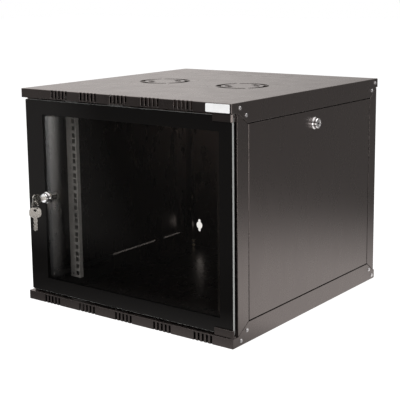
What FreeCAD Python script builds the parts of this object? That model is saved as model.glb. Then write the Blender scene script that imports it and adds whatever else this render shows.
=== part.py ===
"""Wall mount network cabinet, 9U, with a glass door and lift-off side panels.

Frame: X to the right, Y to the back (the wall), Z up, millimetres.  The origin is the
centre of the bottom pan's underside.  Every size is a cell of the sheet named Sizes, and
every sketch, offset and length is an expression of those cells.
"""
import FreeCAD, Part
import os
import re
import Sketcher

SIZES = {
    # cabinet
    "cabinet_width": 540,
    "cabinet_depth": 565,
    "cabinet_height": 459,
    "seat_gap": 0.2,            # between flat faces that are only fastened to each other
    # top and bottom pans
    "pan_sheet": 1.5,
    "pan_bend_radius": 1.2,
    "front_flange_height": 19,
    "front_lip_width": 14,
    "side_band_height": 40,
    "side_lip_width": 14,
    "front_mitre_start": 18,
    "front_mitre_end": 52,
    "rear_mitre_start": 6,
    "rear_mitre_end": 36,
    # ventilation slots in the front flanges
    "vent_slot_width": 5,
    "vent_slot_pitch": 9.8,
    "vent_group_count": 5,
    "top_vent_group_pitch": 80,
    "bottom_vent_group_pitch": 100,
    "vent_slot_margin": 0.5,
    "vent_slot_fold_reach": 3,
    # fan grilles in the top pan
    "fan_spacing": 208,
    "fan_setback": 275,
    "fan_screw_pitch": 105,
    "fan_screw_radius": 2.25,
    "grille_outer_radius": 56,
    "grille_ring_radius": 45,
    "grille_inner_radius": 37,
    "grille_disc_radius": 25,
    "grille_spoke_width": 7,
    "grille_inner_reach": 34,   # degrees that the short slots run from their spoke
    # cable knock-outs in both pans
    "knockout_half_width": 75,
    "knockout_depth": 50,
    "knockout_setback": 36,
    "knockout_slit": 1.2,
    "knockout_bridge": 10,
    # corner posts
    "post_sheet": 1.5,
    "post_joggle": 4,
    "post_fold_depth": 12,
    "front_post_setback": 17,
    "front_post_face": 46,
    "front_post_return": 12.5,
    "rear_post_face": 28,
    "rear_post_return": 12,
    # side panels
    "panel_sheet": 1.2,
    "panel_gap": 2,
    "panel_fold_depth": 10,
    "panel_bend_radius": 1.1,
    "panel_hook_spacing": 300,
    "panel_hook_width": 24,
    "panel_hook_depth": 7,
    "panel_hook_inset": 5,
    "panel_hook_shoulder": 5,
    "panel_lock_drop": 26,
    # back panel
    "back_sheet": 1.2,
    "back_side_clearance": 2,
    "keyhole_radius": 9.5,
    "keyhole_slot_width": 8,
    "keyhole_length": 32,
    "keyhole_spread": 456,
    "keyhole_height": 56,
    # glass door
    "glass_thickness": 5,
    "glass_setback": 7,
    "glass_side_gap": 4,
    "glass_end_gap": 23,
    "glass_corner_radius": 3,
    "border_width": 30,
    "border_thickness": 0.3,
    "border_corner_radius": 4,
    # door hinge
    "pivot_side_inset": 7,
    "pivot_pin_radius": 3,
    "pivot_clearance": 0.05,
    "pivot_head_radius": 5.5,
    "pivot_head_height": 2,
    "clamp_radius": 6.5,
    "clamp_length": 38,
    "clamp_lip_gap": 1,
    "clamp_overlap": 11,
    "clamp_pad": 0.5,
    "clamp_washer": 0.7,
    "clamp_screw_radius": 2.5,
    # door stop
    "stop_width": 29,
    "stop_offset": 15,
    "stop_sheet": 1.5,
    "stop_drop": 18,
    "stop_bumper_radius": 4,
    # cam locks
    "lock_barrel_radius": 9,
    "lock_flat": 8,
    "lock_hole_clearance": 0.3,
    "lock_head_radius": 12.5,
    "lock_head_rim": 2.5,
    "lock_collar_radius": 10.5,
    "lock_collar_height": 10,
    "lock_collar_round": 1.8,
    "lock_plug_radius": 6.5,
    "lock_plug_recess": 0.6,
    "lock_plug_clearance": 0.05,
    "lock_nut_flats": 22,
    "lock_nut_height": 3.5,
    "lock_stub": 7,
    "lock_cam_sheet": 2,
    "lock_cam_width": 16,
    "lock_cam_reach": 34,
    "door_lock_inset": 53,
    "door_lock_length": 24,
    "panel_lock_length": 15,
    # keys and their ring
    "key_sheet": 2,
    "key_blade_width": 8,
    "key_insertion": 20,
    "key_shoulder": 19,
    "key_bow_length": 21.5,
    "key_bow_width": 25,
    "key_bow_round": 8,
    "key_hole_radius": 3.2,
    "key_hole_margin": 5.5,
    "key_notch": 1.6,
    "ring_radius": 8.6,
    "ring_wire_radius": 0.9,
    "ring_seat_gap": 0.3,
    "spare_key_drop": 1.4,
    # 19 inch rails
    "rack_unit": 44.45,
    "rack_opening": 450,
    "rack_hole_inset": 7.55,
    "rack_hole_side": 9.5,
    "rack_hole_step": 15.875,
    "rail_sheet": 2,
    "rail_side_gap": 16.7,
    "rail_end_gap": 26,
    "rail_depth": 35,
    "rail_setback": 112,
    "rail_inner_fold": 10,
    "rail_face_hole_radius": 3.2,
    "rail_face_hole_inset": 4.3,
    "rail_face_hole_margin": 7,
    # rail supports
    "support_sheet": 1.5,
    "support_height": 42.5,
    "support_foot": 13,
    "support_gap": 0.25,
    "support_start": 62,
    "support_length": 193,
    "rail_forward_travel": 50,
    "rail_backward_travel": 100,
    "rail_bolt_radius": 3,
    "rail_bolt_head_radius": 5.8,
    "rail_bolt_head_height": 4,
    "rail_bolt_height": 31,
    "rail_bolt_first": 10,
    "rail_bolt_pitch": 16,
    # fasteners
    "screw_radius": 2,
    "screw_head_radius": 4,
    "screw_head_height": 2,
    "screw_washer": 0.8,
    "screw_clearance": 0.15,
    "screw_grip": 3,
    "front_screw_low_setback": 26,
    "front_screw_low_height": 10,
    "front_screw_high_setback": 46,
    "front_screw_high_height": 25,
    "rear_screw_low_setback": 13,
    "rear_screw_low_height": 9,
    "rear_screw_high_setback": 27,
    "rear_screw_high_height": 25,
    "back_screw_inset": 14,
    "back_screw_end_height": 95,
    # label plate and earth stud
    "label_width": 54,
    "label_height": 16,
    "label_thickness": 0.6,
    "label_round": 2,
    "label_side_inset": 4,
    "stud_radius": 3,
    "stud_height": 22,
    "stud_side_inset": 34,
    "stud_back_inset": 20,
    "stud_nut_flats": 10,
    "stud_nut_height": 5,
}

HALF_WIDTH = "cabinet_width / 2"
FRONT = "-cabinet_depth / 2"
BACK = "cabinet_depth / 2"
MIDDLE = "cabinet_height / 2"
SIDES = {"left": -1, "right": 1}
VENT_SLOTS = 5
LEVELS = {"bottom": False, "top": True}

document = FreeCAD.newDocument("NetworkCabinet")
sheet = document.addObject("Spreadsheet::Sheet", "Sizes")
for row, (alias, size) in enumerate(SIZES.items(), 1):
    sheet.set(f"A{row}", alias)
    sheet.set(f"B{row}", str(size))
    sheet.setAlias(f"B{row}", alias)
document.recompute()

SUB_PARTS = []


# ---------------------------------------------------------------- expressions

def bound(expression):
    """The expression with each size written as a cell of the sheet."""
    return re.sub(r"[a-z]\w*", lambda word: f"Sizes.{word.group()}" if word.group() in SIZES
                  else word.group(), f"{expression}")


def measure(expression):
    """The expression's present value."""
    return float(sheet.evalExpression(bound(expression)))


def raised(height, top):
    """A height above the bottom pan, or the same distance below the top of the cabinet."""
    return f"cabinet_height - ({height})" if top else f"{height}"


def ordered(low, high):
    """Two coordinates with the smaller one first."""
    return (low, high) if measure(low) < measure(high) else (high, low)


def mirrored(side, distance):
    """A distance from the middle plane, to the left or to the right."""
    return f"{side} * ({distance})"


# ---------------------------------------------------------------- sketches

PLANES = {"XY": ("XY_Plane", 1), "XZ": ("XZ_Plane", -1), "YZ": ("YZ_Plane", 1)}


def new_body(label):
    body = document.addObject("PartDesign::Body", label)
    body.Label = label
    SUB_PARTS.append(body)
    return body


def place(item, x="0", y="0", z="0", axis=(0, 0, 1), angle=0):
    """Turn the item by a fixed angle and bind its position to the sheet."""
    item.Placement = FreeCAD.Placement(FreeCAD.Vector(), FreeCAD.Rotation(FreeCAD.Vector(*axis), angle))
    for letter, value in zip("xyz", (x, y, z)):
        item.setExpression(f"Placement.Base.{letter}", bound(value))


def sketch_on(body, plane, height):
    role, sense = PLANES[plane]
    sketch = body.newObject("Sketcher::SketchObject", f"{body.Label}_sketch")
    support = next(item for item in body.Origin.OriginFeatures if item.Role == role)
    sketch.AttachmentSupport = [(support, "")]
    sketch.MapMode = "FlatFace"
    sketch.setExpression("AttachmentOffset.Base.z", bound(f"{sense} * ({height})"))
    return sketch


def fix_point(sketch, geometry, position, x, y):
    """Hold one point at two distances from the sketch's origin."""
    for kind, value in (("DistanceX", x), ("DistanceY", y)):
        index = sketch.addConstraint(Sketcher.Constraint(kind, -1, 1, geometry, position, measure(value)))
        sketch.setExpression(f"Constraints[{index}]", bound(value))


def draw_circle(sketch, x, y, radius):
    centre = FreeCAD.Vector(measure(x), measure(y), 0)
    circle = sketch.addGeometry(Part.Circle(centre, FreeCAD.Vector(0, 0, 1), measure(radius)), False)
    index = sketch.addConstraint(Sketcher.Constraint("Radius", circle, measure(radius)))
    sketch.setExpression(f"Constraints[{index}]", bound(radius))
    fix_point(sketch, circle, 3, x, y)


def arc_between(start, end, centre, turn):
    """A circular arc, turning +1 (anticlockwise) or -1, and its positions at start and end."""
    radius = (start - centre).Length
    first, last = (start, end) if turn > 0 else (end, start)
    axis = FreeCAD.Vector(1, 0, 0)
    normal = FreeCAD.Vector(0, 0, 1)
    angles = [axis.getAngle(point - centre) * (1 if point.y >= centre.y else -1) for point in (first, last)]
    if angles[1] <= angles[0]:
        angles[1] += 2 * 3.141592653589793
    arc = Part.ArcOfCircle(Part.Circle(centre, normal, radius), *angles)
    return arc, ((1, 2) if turn > 0 else (2, 1))


def draw_outline(sketch, edges):
    """A closed outline.  An edge is (x, y) for a line to that point from the one before it,
    or (x, y, centre x, centre y, turn) for an arc to it."""
    points = [FreeCAD.Vector(measure(edge[0]), measure(edge[1]), 0) for edge in edges]
    drawn = []
    for index, edge in enumerate(edges):
        start, end = points[index - 1], points[index]
        if len(edge) == 2:
            curve, ends = Part.LineSegment(start, end), (1, 2)
        else:
            centre = FreeCAD.Vector(measure(edge[2]), measure(edge[3]), 0)
            curve, ends = arc_between(start, end, centre, edge[4])
        drawn.append((sketch.addGeometry(curve, False), ends))
    joins = [Sketcher.Constraint("Coincident", drawn[index - 1][0], drawn[index - 1][1][1],
                                 drawn[index][0], drawn[index][1][0]) for index in range(len(edges))]
    sketch.addConstraint(joins)
    for index, edge in enumerate(edges):
        geometry, ends = drawn[index]
        fix_point(sketch, geometry, ends[1], edge[0], edge[1])
        if len(edge) == 5:
            chord = points[index] - points[index - 1]
            kind, value = ("DistanceY", edge[3]) if abs(chord.x) > abs(chord.y) else ("DistanceX", edge[2])
            held = sketch.addConstraint(Sketcher.Constraint(kind, -1, 1, geometry, 3, measure(value)))
            sketch.setExpression(f"Constraints[{held}]", bound(value))


def rectangle(low_x, low_y, high_x, high_y):
    return [(low_x, low_y), (high_x, low_y), (high_x, high_y), (low_x, high_y)]


def rounded_rectangle(low_x, low_y, high_x, high_y, radius):
    """Edges of a rectangle with round corners, anticlockwise."""
    left, right = f"{low_x} + {radius}", f"{high_x} - {radius}"
    bottom, top = f"{low_y} + {radius}", f"{high_y} - {radius}"
    return [(right, low_y), (high_x, bottom, right, bottom, 1), (high_x, top), (right, high_y, right, top, 1),
            (left, high_y), (low_x, top, left, top, 1), (low_x, bottom), (left, low_y, left, bottom, 1)]


# ---------------------------------------------------------------- features

def finish(feature, sketch, length, backwards):
    feature.Profile = sketch
    feature.setExpression("Length", bound(length))
    feature.Reversed = backwards
    return feature


def extrude(body, plane, outlines, start, end, circles=()):
    """Add the outlines and circles (x, y, radius) between two coordinates along the plane's axis."""
    low, high = ordered(start, end)
    sketch = sketch_on(body, plane, low)
    for edges in outlines:
        draw_outline(sketch, edges)
    for circle in circles:
        draw_circle(sketch, *circle)
    pad = body.newObject("PartDesign::Pad", f"{body.Label}_pad")
    return finish(pad, sketch, f"({high}) - ({low})", plane == "XZ")


def cut(body, plane, outlines, start, end, circles=()):
    """Cut the outlines and circles between two coordinates, and make sure that metal went."""
    document.recompute()
    before = body.Shape.Volume
    low, high = ordered(start, end)
    sketch = sketch_on(body, plane, low)
    for edges in outlines:
        draw_outline(sketch, edges)
    for circle in circles:
        draw_circle(sketch, *circle)
    pocket = body.newObject("PartDesign::Pocket", f"{body.Label}_pocket")
    finish(pocket, sketch, f"({high}) - ({low})", plane != "XZ")
    document.recompute()
    if body.Shape.Volume >= before:
        raise ValueError(f"{body.Label}: a pocket removed nothing")
    return pocket


def repeat(body, original, axis_name, spacing, count):
    """A row of copies of one feature along an axis of its sketch."""
    pattern = body.newObject("PartDesign::LinearPattern", f"{body.Label}_row")
    pattern.Originals = [original]
    pattern.Direction = (original.Profile[0], [axis_name])
    pattern.Mode = "Spacing"
    pattern.setExpression("Offset", bound(spacing))
    pattern.setExpression("Occurrences", bound(count))
    body.Tip = pattern


def round_edges(body, radius, chosen):
    """Fillet the body's edges whose two ends both pass the test."""
    document.recompute()
    names = [f"Edge{index}" for index, edge in enumerate(body.Shape.Edges, 1)
             if len(edge.Vertexes) == 2 and chosen(edge, *[vertex.Point for vertex in edge.Vertexes])]
    fillet = body.newObject("PartDesign::Fillet", f"{body.Label}_fillet")
    fillet.Base = (body.Tip if body.Tip != fillet else fillet.BaseFeature, names)
    fillet.setExpression("Radius", bound(radius))
    body.Tip = fillet
    return fillet


def near(first, second):
    return abs(first - second) < 1e-4


def revolve(body, edges):
    """Turn a closed outline of radius and height round the body's own Z axis."""
    sketch = sketch_on(body, "XZ", "0")
    draw_outline(sketch, edges)
    turned = body.newObject("PartDesign::Revolution", f"{body.Label}_turned")
    turned.Profile = sketch
    turned.ReferenceAxis = (sketch, ["V_Axis"])
    turned.Angle = 360
    return turned


# ---------------------------------------------------------------- pans

def corner_screw_places(top):
    """(y, z) of the four screws through each side band of a pan."""
    return [(f"{FRONT} + front_screw_low_setback", raised("front_screw_low_height", top)),
            (f"{FRONT} + front_screw_high_setback", raised("front_screw_high_height", top)),
            (f"{BACK} - rear_screw_low_setback", raised("rear_screw_low_height", top)),
            (f"{BACK} - rear_screw_high_setback", raised("rear_screw_high_height", top))]


def side_band(top):
    """Outline of a pan's side flange: low at the front and back, mitred up to full height."""
    return [(y, raised(z, top)) for y, z in (
        (FRONT, "0"), (FRONT, "front_flange_height"),
        (f"{FRONT} + front_mitre_start", "front_flange_height"),
        (f"{FRONT} + front_mitre_end", "side_band_height"),
        (f"{BACK} - rear_mitre_end", "side_band_height"),
        (f"{BACK} - rear_mitre_start", "front_flange_height"),
        (BACK, "front_flange_height"), (BACK, "0"))]


def fan_slot(x, y, inner, outer, start, end):
    """One slot of a fan grille: two arcs round (x, y) with straight ends, angles in degrees."""
    def point(radius, angle):
        return f"{x} + {radius} * cos({angle})", f"{y} + {radius} * sin({angle})"
    return [(*point(outer, end), x, y, 1), point(inner, end), (*point(inner, start), x, y, -1), point(outer, start)]


def fan_grille(x, y):
    """Outlines of one grille: four long slots, and two pairs of short ones on one diagonal."""
    outer_gap = "asin(grille_spoke_width / 2 / grille_outer_radius)"
    inner_gap = "asin(grille_spoke_width / 2 / grille_inner_radius)"
    slots = [fan_slot(x, y, "grille_ring_radius", "grille_outer_radius",
                      f"{corner}deg + {outer_gap}", f"{corner + 90}deg - {outer_gap}")
             for corner in (45, 135, 225, 315)]
    for diagonal in (45, 225):
        slots.append(fan_slot(x, y, "grille_disc_radius", "grille_inner_radius",
                              f"{diagonal}deg + {inner_gap}", f"{diagonal}deg + grille_inner_reach * 1deg"))
        slots.append(fan_slot(x, y, "grille_disc_radius", "grille_inner_radius",
                              f"{diagonal}deg - grille_inner_reach * 1deg", f"{diagonal}deg - {inner_gap}"))
    return slots


def knockout_slits():
    """Two C-shaped slits that leave a cable knock-out hanging on two bridges."""
    outlines = []
    near_edge = f"{BACK} - knockout_setback - knockout_depth"
    far_edge = f"{BACK} - knockout_setback"
    for side in (-1, 1):
        outer = mirrored(side, "knockout_half_width")
        inner = mirrored(side, "knockout_half_width - knockout_slit")
        bridge = mirrored(side, "knockout_bridge / 2")
        outlines.append([(bridge, near_edge), (outer, near_edge), (outer, far_edge), (bridge, far_edge),
                         (bridge, f"{far_edge} - knockout_slit"), (inner, f"{far_edge} - knockout_slit"),
                         (inner, f"{near_edge} + knockout_slit"), (bridge, f"{near_edge} + knockout_slit")])
    return outlines


def make_pan(label, top):
    """A folded sheet tray: floor, flanges all round, mitred side bands and inward lips."""
    body = new_body(label)
    floor = raised("0", top), raised("pan_sheet", top)
    flange = raised("0", top), raised("front_flange_height", top)
    whole = rectangle(f"-{HALF_WIDTH}", FRONT, HALF_WIDTH, BACK)
    extrude(body, "XY", [whole], *floor)
    ends = rectangle(f"-{HALF_WIDTH}", flange[0], HALF_WIDTH, flange[1])
    extrude(body, "XZ", [ends], FRONT, f"{FRONT} + pan_sheet")
    extrude(body, "XZ", [ends], f"{BACK} - pan_sheet", BACK)
    for side in SIDES.values():
        extrude(body, "YZ", [side_band(top)], mirrored(side, f"{HALF_WIDTH} - pan_sheet"),
                mirrored(side, HALF_WIDTH))
    outside = measure(floor[0])
    half_width, half_depth = measure(HALF_WIDTH), measure(BACK)

    def is_outer_bend(edge, first, last):
        level = near(first.z, outside) and near(last.z, outside)
        along_side = near(abs(first.x), half_width) and near(first.x, last.x)
        along_end = near(abs(first.y), half_depth) and near(first.y, last.y)
        return (level and (along_side or along_end)) or (along_side and along_end)
    round_edges(body, "pan_bend_radius", is_outer_bend)

    lip = raised("front_flange_height - pan_sheet", top), flange[1]
    extrude(body, "XY", [rectangle(f"-{HALF_WIDTH} + pan_sheet / 2", f"{FRONT} + pan_sheet / 2",
                                   f"{HALF_WIDTH} - pan_sheet / 2", f"{FRONT} + front_lip_width")], *lip)
    band_lip = raised("side_band_height - pan_sheet", top), raised("side_band_height", top)
    lips = [rectangle(mirrored(side, f"{HALF_WIDTH} - side_lip_width"), f"{FRONT} + front_mitre_end",
                      mirrored(side, f"{HALF_WIDTH} - pan_sheet / 2"), f"{BACK} - rear_mitre_end")
            for side in SIDES.values()]
    extrude(body, "XY", lips, *band_lip)

    group_pitch = "top_vent_group_pitch" if top else "bottom_vent_group_pitch"
    slot_end = "front_flange_height - pan_sheet - vent_slot_margin"
    slots = []
    for step in range(-VENT_SLOTS // 2 + 1, VENT_SLOTS // 2 + 1):
        middle = f"{step} * vent_slot_pitch - (vent_group_count - 1) / 2 * {group_pitch}"
        slots.append(rectangle(f"{middle} - vent_slot_width / 2", raised("-1", top),
                               f"{middle} + vent_slot_width / 2", raised(slot_end, top)))
    vent = cut(body, "XZ", slots, f"{FRONT} - 1", f"{FRONT} + vent_slot_fold_reach")
    repeat(body, vent, "H_Axis", group_pitch, "vent_group_count")

    for side in SIDES.values():
        holes = [(y, z, "screw_radius + screw_clearance") for y, z in corner_screw_places(top)]
        cut(body, "YZ", [], mirrored(side, f"{HALF_WIDTH} - pan_sheet - 1"), mirrored(side, f"{HALF_WIDTH} + 1"), holes)
    pivot = (PIVOT_X, PIVOT_Y, "pivot_pin_radius + pivot_clearance")
    cut(body, "XY", [], *lip, [pivot])
    cut(body, "XY", knockout_slits(), *floor)
    return body


def add_fan_grilles(body):
    floor = raised("0", True), raised("pan_sheet", True)
    y = f"{FRONT} + fan_setback"
    for side in SIDES.values():
        x = mirrored(side, "fan_spacing / 2")
        screws = [(f"{x} + {column} * fan_screw_pitch / 2", f"{y} + {line} * fan_screw_pitch / 2", "fan_screw_radius")
                  for column in (-1, 1) for line in (-1, 1)]
        cut(body, "XY", fan_grille(x, y), *floor, screws)


def add_hook_slots(body):
    """Slots in the bottom pan's side lips for the hooks of the side panels."""
    outlines = []
    for side in SIDES.values():
        for end in (-1, 1):
            middle = f"{end} * panel_hook_spacing / 2 + {PANEL_MIDDLE}"
            outlines.append(rectangle(
                mirrored(side, f"{HALF_WIDTH} - panel_hook_inset - panel_sheet - 3.5"), f"{middle} - panel_hook_width / 2 - 1",
                mirrored(side, f"{HALF_WIDTH} - panel_hook_inset + 2"), f"{middle} + panel_hook_width / 2 + 1"))
    cut(body, "XY", outlines, "side_band_height - pan_sheet", "side_band_height")


# ---------------------------------------------------------------- posts

POST_BOTTOM = "pan_sheet + seat_gap"
POST_TOP = "cabinet_height - pan_sheet - seat_gap"
TAB_OUTSIDE = f"{HALF_WIDTH} - pan_sheet - seat_gap"


def make_post(label, side, front):
    """A folded corner post: face, return, side web flush with the pans, joggled end tabs."""
    name = "front" if front else "rear"
    setback = "front_post_setback" if front else "rear_mitre_start"

    def deep(distance):
        return f"{FRONT} + {distance}" if front else f"{BACK} - ({distance})"
    body = new_body(label)
    inner = f"{HALF_WIDTH} - {name}_post_face"
    low_web = "front_flange_height + panel_gap"
    high_web = "side_band_height + panel_gap"
    mitre = [(deep(setback), low_web), (deep(f"{name}_mitre_start + 1"), low_web), (deep(f"{name}_mitre_end"), high_web)]

    face = [(mirrored(side, x), z) for x, z in (
        (inner, POST_BOTTOM), (TAB_OUTSIDE, POST_BOTTOM), (TAB_OUTSIDE, low_web), (HALF_WIDTH, low_web),
        (HALF_WIDTH, raised(low_web, True)), (TAB_OUTSIDE, raised(low_web, True)), (TAB_OUTSIDE, POST_TOP),
        (inner, POST_TOP))]
    extrude(body, "XZ", [face], deep(setback), deep(f"{setback} + post_sheet"))
    extrude(body, "XY", [rectangle(mirrored(side, inner), deep(setback), mirrored(side, f"{inner} + post_sheet"),
                                   deep(f"{setback} + {name}_post_return"))], POST_BOTTOM, POST_TOP)
    web = mitre + [(y, raised(z, True)) for y, z in reversed(mitre)]
    extrude(body, "YZ", [web], mirrored(side, f"{HALF_WIDTH} - post_sheet"), mirrored(side, HALF_WIDTH))
    fold = rectangle(mirrored(side, f"{HALF_WIDTH} - post_fold_depth"), deep(f"{name}_mitre_end - post_sheet"),
                     mirrored(side, HALF_WIDTH), deep(f"{name}_mitre_end"))
    extrude(body, "XY", [fold], high_web, raised(high_web, True))
    strips = []
    tabs = []
    for top in LEVELS.values():
        strip = mitre + [(y, f"{z} + post_joggle") for y, z in reversed(mitre)]
        strips.append([(y, raised(z, top)) for y, z in strip])
        tab = [(deep(setback), POST_BOTTOM), (deep(f"{name}_mitre_end - post_sheet - 1"), POST_BOTTOM),
               (deep(f"{name}_mitre_end - post_sheet - 1"), f"{high_web} + post_joggle"),
               (deep(f"{name}_mitre_start + 1"), f"{low_web} + post_joggle"), (deep(setback), f"{low_web} + post_joggle")]
        tabs.append([(y, raised(z, top)) for y, z in tab])
    extrude(body, "YZ", strips, mirrored(side, f"{TAB_OUTSIDE} - post_sheet"), mirrored(side, f"{HALF_WIDTH}"))
    extrude(body, "YZ", tabs, mirrored(side, f"{TAB_OUTSIDE} - post_sheet"), mirrored(side, TAB_OUTSIDE))
    chosen = slice(0, 2) if front else slice(2, 4)
    holes = [(y, z, "screw_radius + screw_clearance") for top in LEVELS.values()
             for y, z in corner_screw_places(top)[chosen]]
    cut(body, "YZ", [], mirrored(side, f"{TAB_OUTSIDE} - post_sheet - 1"), mirrored(side, f"{TAB_OUTSIDE} + 1"), holes)
    if not front:
        cut(body, "XZ", [], deep(f"{setback} - 1"), deep(f"{setback} + post_sheet + 1"),
            [(mirrored(side, BACK_SCREW_X), z, "screw_radius + screw_clearance") for z in BACK_SCREW_HEIGHTS])
    return body


# ---------------------------------------------------------------- back panel

BACK_SCREW_X = f"{HALF_WIDTH} - back_screw_inset"
BACK_SCREW_HEIGHTS = ["back_screw_end_height", MIDDLE, "cabinet_height - back_screw_end_height"]


def keyhole(x, z):
    """A double-ended wall keyhole: a round eye with a slot above and below."""
    half = "keyhole_slot_width / 2"
    reach = f"(keyhole_length / 2 - {half})"
    shoulder = f"sqrt(keyhole_radius ^ 2 - ({half}) ^ 2)"
    left, right = f"{x} - {half}", f"{x} + {half}"
    return [(right, f"{z} - {reach}", x, f"{z} - {reach}", 1), (right, f"{z} - {shoulder}"),
            (right, f"{z} + {shoulder}", x, z, 1), (right, f"{z} + {reach}"),
            (left, f"{z} + {reach}", x, f"{z} + {reach}", 1), (left, f"{z} + {shoulder}"),
            (left, f"{z} - {shoulder}", x, z, 1), (left, f"{z} - {reach}")]


def make_back_panel():
    body = new_body("back_panel")
    edge = f"{HALF_WIDTH} - back_side_clearance"
    front, back = f"{BACK} - rear_mitre_start", f"{BACK} - rear_mitre_start + back_sheet"
    extrude(body, "XZ", [rectangle(f"-({edge})", POST_BOTTOM, edge, POST_TOP)], front, back)
    keyholes = [keyhole(mirrored(side, "keyhole_spread / 2"), raised("keyhole_height", top))
                for side in SIDES.values() for top in LEVELS.values()]
    cut(body, "XZ", keyholes, front, back,
        [(mirrored(side, BACK_SCREW_X), z, "screw_radius + screw_clearance")
         for side in SIDES.values() for z in BACK_SCREW_HEIGHTS])


# ---------------------------------------------------------------- side panels

PANEL_FRONT = f"{FRONT} + front_mitre_end + panel_gap"
PANEL_REAR = f"{BACK} - rear_mitre_end - panel_gap"
PANEL_MIDDLE = "(front_mitre_end - rear_mitre_end) / 2"
PANEL_BOTTOM = "side_band_height + panel_gap"
PANEL_TOP = "cabinet_height - side_band_height - panel_gap"
PANEL_LOCK_Z = f"{PANEL_TOP} - panel_lock_drop"


def make_side_panel(label, side):
    """A shallow folded tray, open to the inside, that hooks into the bottom pan's lip."""
    body = new_body(label)
    inside = mirrored(side, f"{HALF_WIDTH} - panel_fold_depth")
    extrude(body, "YZ", [rectangle(PANEL_FRONT, PANEL_BOTTOM, PANEL_REAR, PANEL_TOP)], inside,
            mirrored(side, HALF_WIDTH))
    face = measure(mirrored(side, HALF_WIDTH))
    round_edges(body, "panel_bend_radius", lambda edge, first, last: near(first.x, face) and near(last.x, face))
    cut(body, "YZ", [rectangle(f"{PANEL_FRONT} + panel_sheet", f"{PANEL_BOTTOM} + panel_sheet",
                               f"{PANEL_REAR} - panel_sheet", f"{PANEL_TOP} - panel_sheet")],
        inside, mirrored(side, f"{HALF_WIDTH} - panel_sheet"))
    hooks = []
    for end in (-1, 1):
        middle = f"{end} * panel_hook_spacing / 2 + {PANEL_MIDDLE}"
        near_side, far_side = f"{middle} - panel_hook_width / 2", f"{middle} + panel_hook_width / 2"
        low, high = f"{PANEL_BOTTOM} - panel_hook_depth", f"{PANEL_BOTTOM} + panel_sheet"
        hooks.append([(far_side, low), (far_side, "side_band_height"),
                      (f"{far_side} + panel_hook_shoulder", "side_band_height"),
                      (f"{far_side} + panel_hook_shoulder", high), (f"{near_side} - panel_hook_shoulder", high),
                      (f"{near_side} - panel_hook_shoulder", "side_band_height"),
                      (near_side, "side_band_height"), (near_side, low)])
    extrude(body, "YZ", hooks, mirrored(side, f"{HALF_WIDTH} - panel_hook_inset - panel_sheet"),
            mirrored(side, f"{HALF_WIDTH} - panel_hook_inset"))
    cut(body, "YZ", [], mirrored(side, f"{HALF_WIDTH} - panel_sheet"), mirrored(side, HALF_WIDTH),
        [(PANEL_MIDDLE, PANEL_LOCK_Z, "lock_barrel_radius + lock_hole_clearance")])


# ---------------------------------------------------------------- cam locks

def make_lock(prefix, length, grip, position, axis, angle, cam_side):
    """A cam lock built round its own Z axis, which points out of the cabinet.  Its flange
    sits on the plate, its nut behind a plate of thickness grip, its cam at the barrel's end."""
    bore = "lock_plug_radius + lock_plug_clearance"
    rounding = "lock_collar_round"
    body = new_body(f"{prefix}_lock_body")
    revolve(body, [
        (bore, f"-{length}"), ("lock_barrel_radius", f"-{length}"), ("lock_barrel_radius", "0"),
        ("lock_head_radius", "0"), ("lock_head_radius", "lock_head_rim / 2"),
        ("lock_head_radius - lock_head_rim / 2", "lock_head_rim"), ("lock_collar_radius", "lock_head_rim"),
        ("lock_collar_radius", f"lock_collar_height - {rounding}"),
        (f"lock_collar_radius - {rounding} / 3", f"lock_collar_height - {rounding} / 3"),
        (f"lock_collar_radius - {rounding}", "lock_collar_height"), (bore, "lock_collar_height")])
    flats = [rectangle(mirrored(end, "lock_flat"), "-lock_barrel_radius - 1",
                       mirrored(end, "lock_barrel_radius + 1"), "lock_barrel_radius + 1") for end in (-1, 1)]
    cut(body, "XY", flats, f"-{length} - 1", "0")

    plug = new_body(f"{prefix}_lock_plug")
    extrude(plug, "XY", [], f"-{length}", "lock_collar_height - lock_plug_recess", [("0", "0", "lock_plug_radius")])
    extrude(plug, "XY", [rectangle("-lock_stub / 2", "-lock_stub / 2", "lock_stub / 2", "lock_stub / 2")],
            f"-{length} - lock_cam_sheet - seat_gap", f"-{length}")
    keyway_x, keyway_y = "key_sheet / 2 + 0.15", "key_blade_width / 2 + 0.15"
    cut(plug, "XY", [rectangle(f"-({keyway_x})", f"-({keyway_y})", keyway_x, keyway_y)],
        "-key_insertion + lock_collar_height - 1", "lock_collar_height")

    nut = new_body(f"{prefix}_lock_nut")
    hexagon = hex_outline("0", "0", "lock_nut_flats")
    extrude(nut, "XY", [hexagon], f"-{grip} - lock_nut_height", f"-{grip}")
    cut(nut, "XY", [], f"-{grip} - lock_nut_height", f"-{grip}", [("0", "0", "lock_barrel_radius + seat_gap / 2")])

    cam = new_body(f"{prefix}_lock_cam")
    low, high = f"-{length} - lock_cam_sheet", f"-{length}"
    half = "lock_cam_width / 2"
    reach = f"(lock_cam_reach - {half})"
    along, across = cam_side
    if across:
        shape = [(half, f"{across} * {reach}"), (f"-{half}", f"{across} * {reach}", "0", f"{across} * {reach}", across),
                 (f"-{half}", "0"), (half, "0", "0", "0", across)]
    else:
        shape = [(f"{along} * {reach}", f"-{half}"), (f"{along} * {reach}", half, f"{along} * {reach}", "0", along),
                 ("0", half), ("0", f"-{half}", "0", "0", along)]
    extrude(cam, "XY", [shape], f"{low} - seat_gap / 2", f"{high} - seat_gap / 2")
    hole = "lock_stub / 2 + seat_gap / 2"
    cut(cam, "XY", [rectangle(f"-({hole})", f"-({hole})", hole, hole)], f"{low} - 1", f"{high} + 1")

    screw = new_body(f"{prefix}_cam_screw")
    end = f"-{length} - lock_cam_sheet - seat_gap"
    extrude(screw, "XY", [], f"{end} - 2.5", end, [("0", "0", "lock_stub / 2 + 1.2")])
    for piece in (body, plug, nut, cam, screw):
        place(piece, *position, axis, angle)


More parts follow.
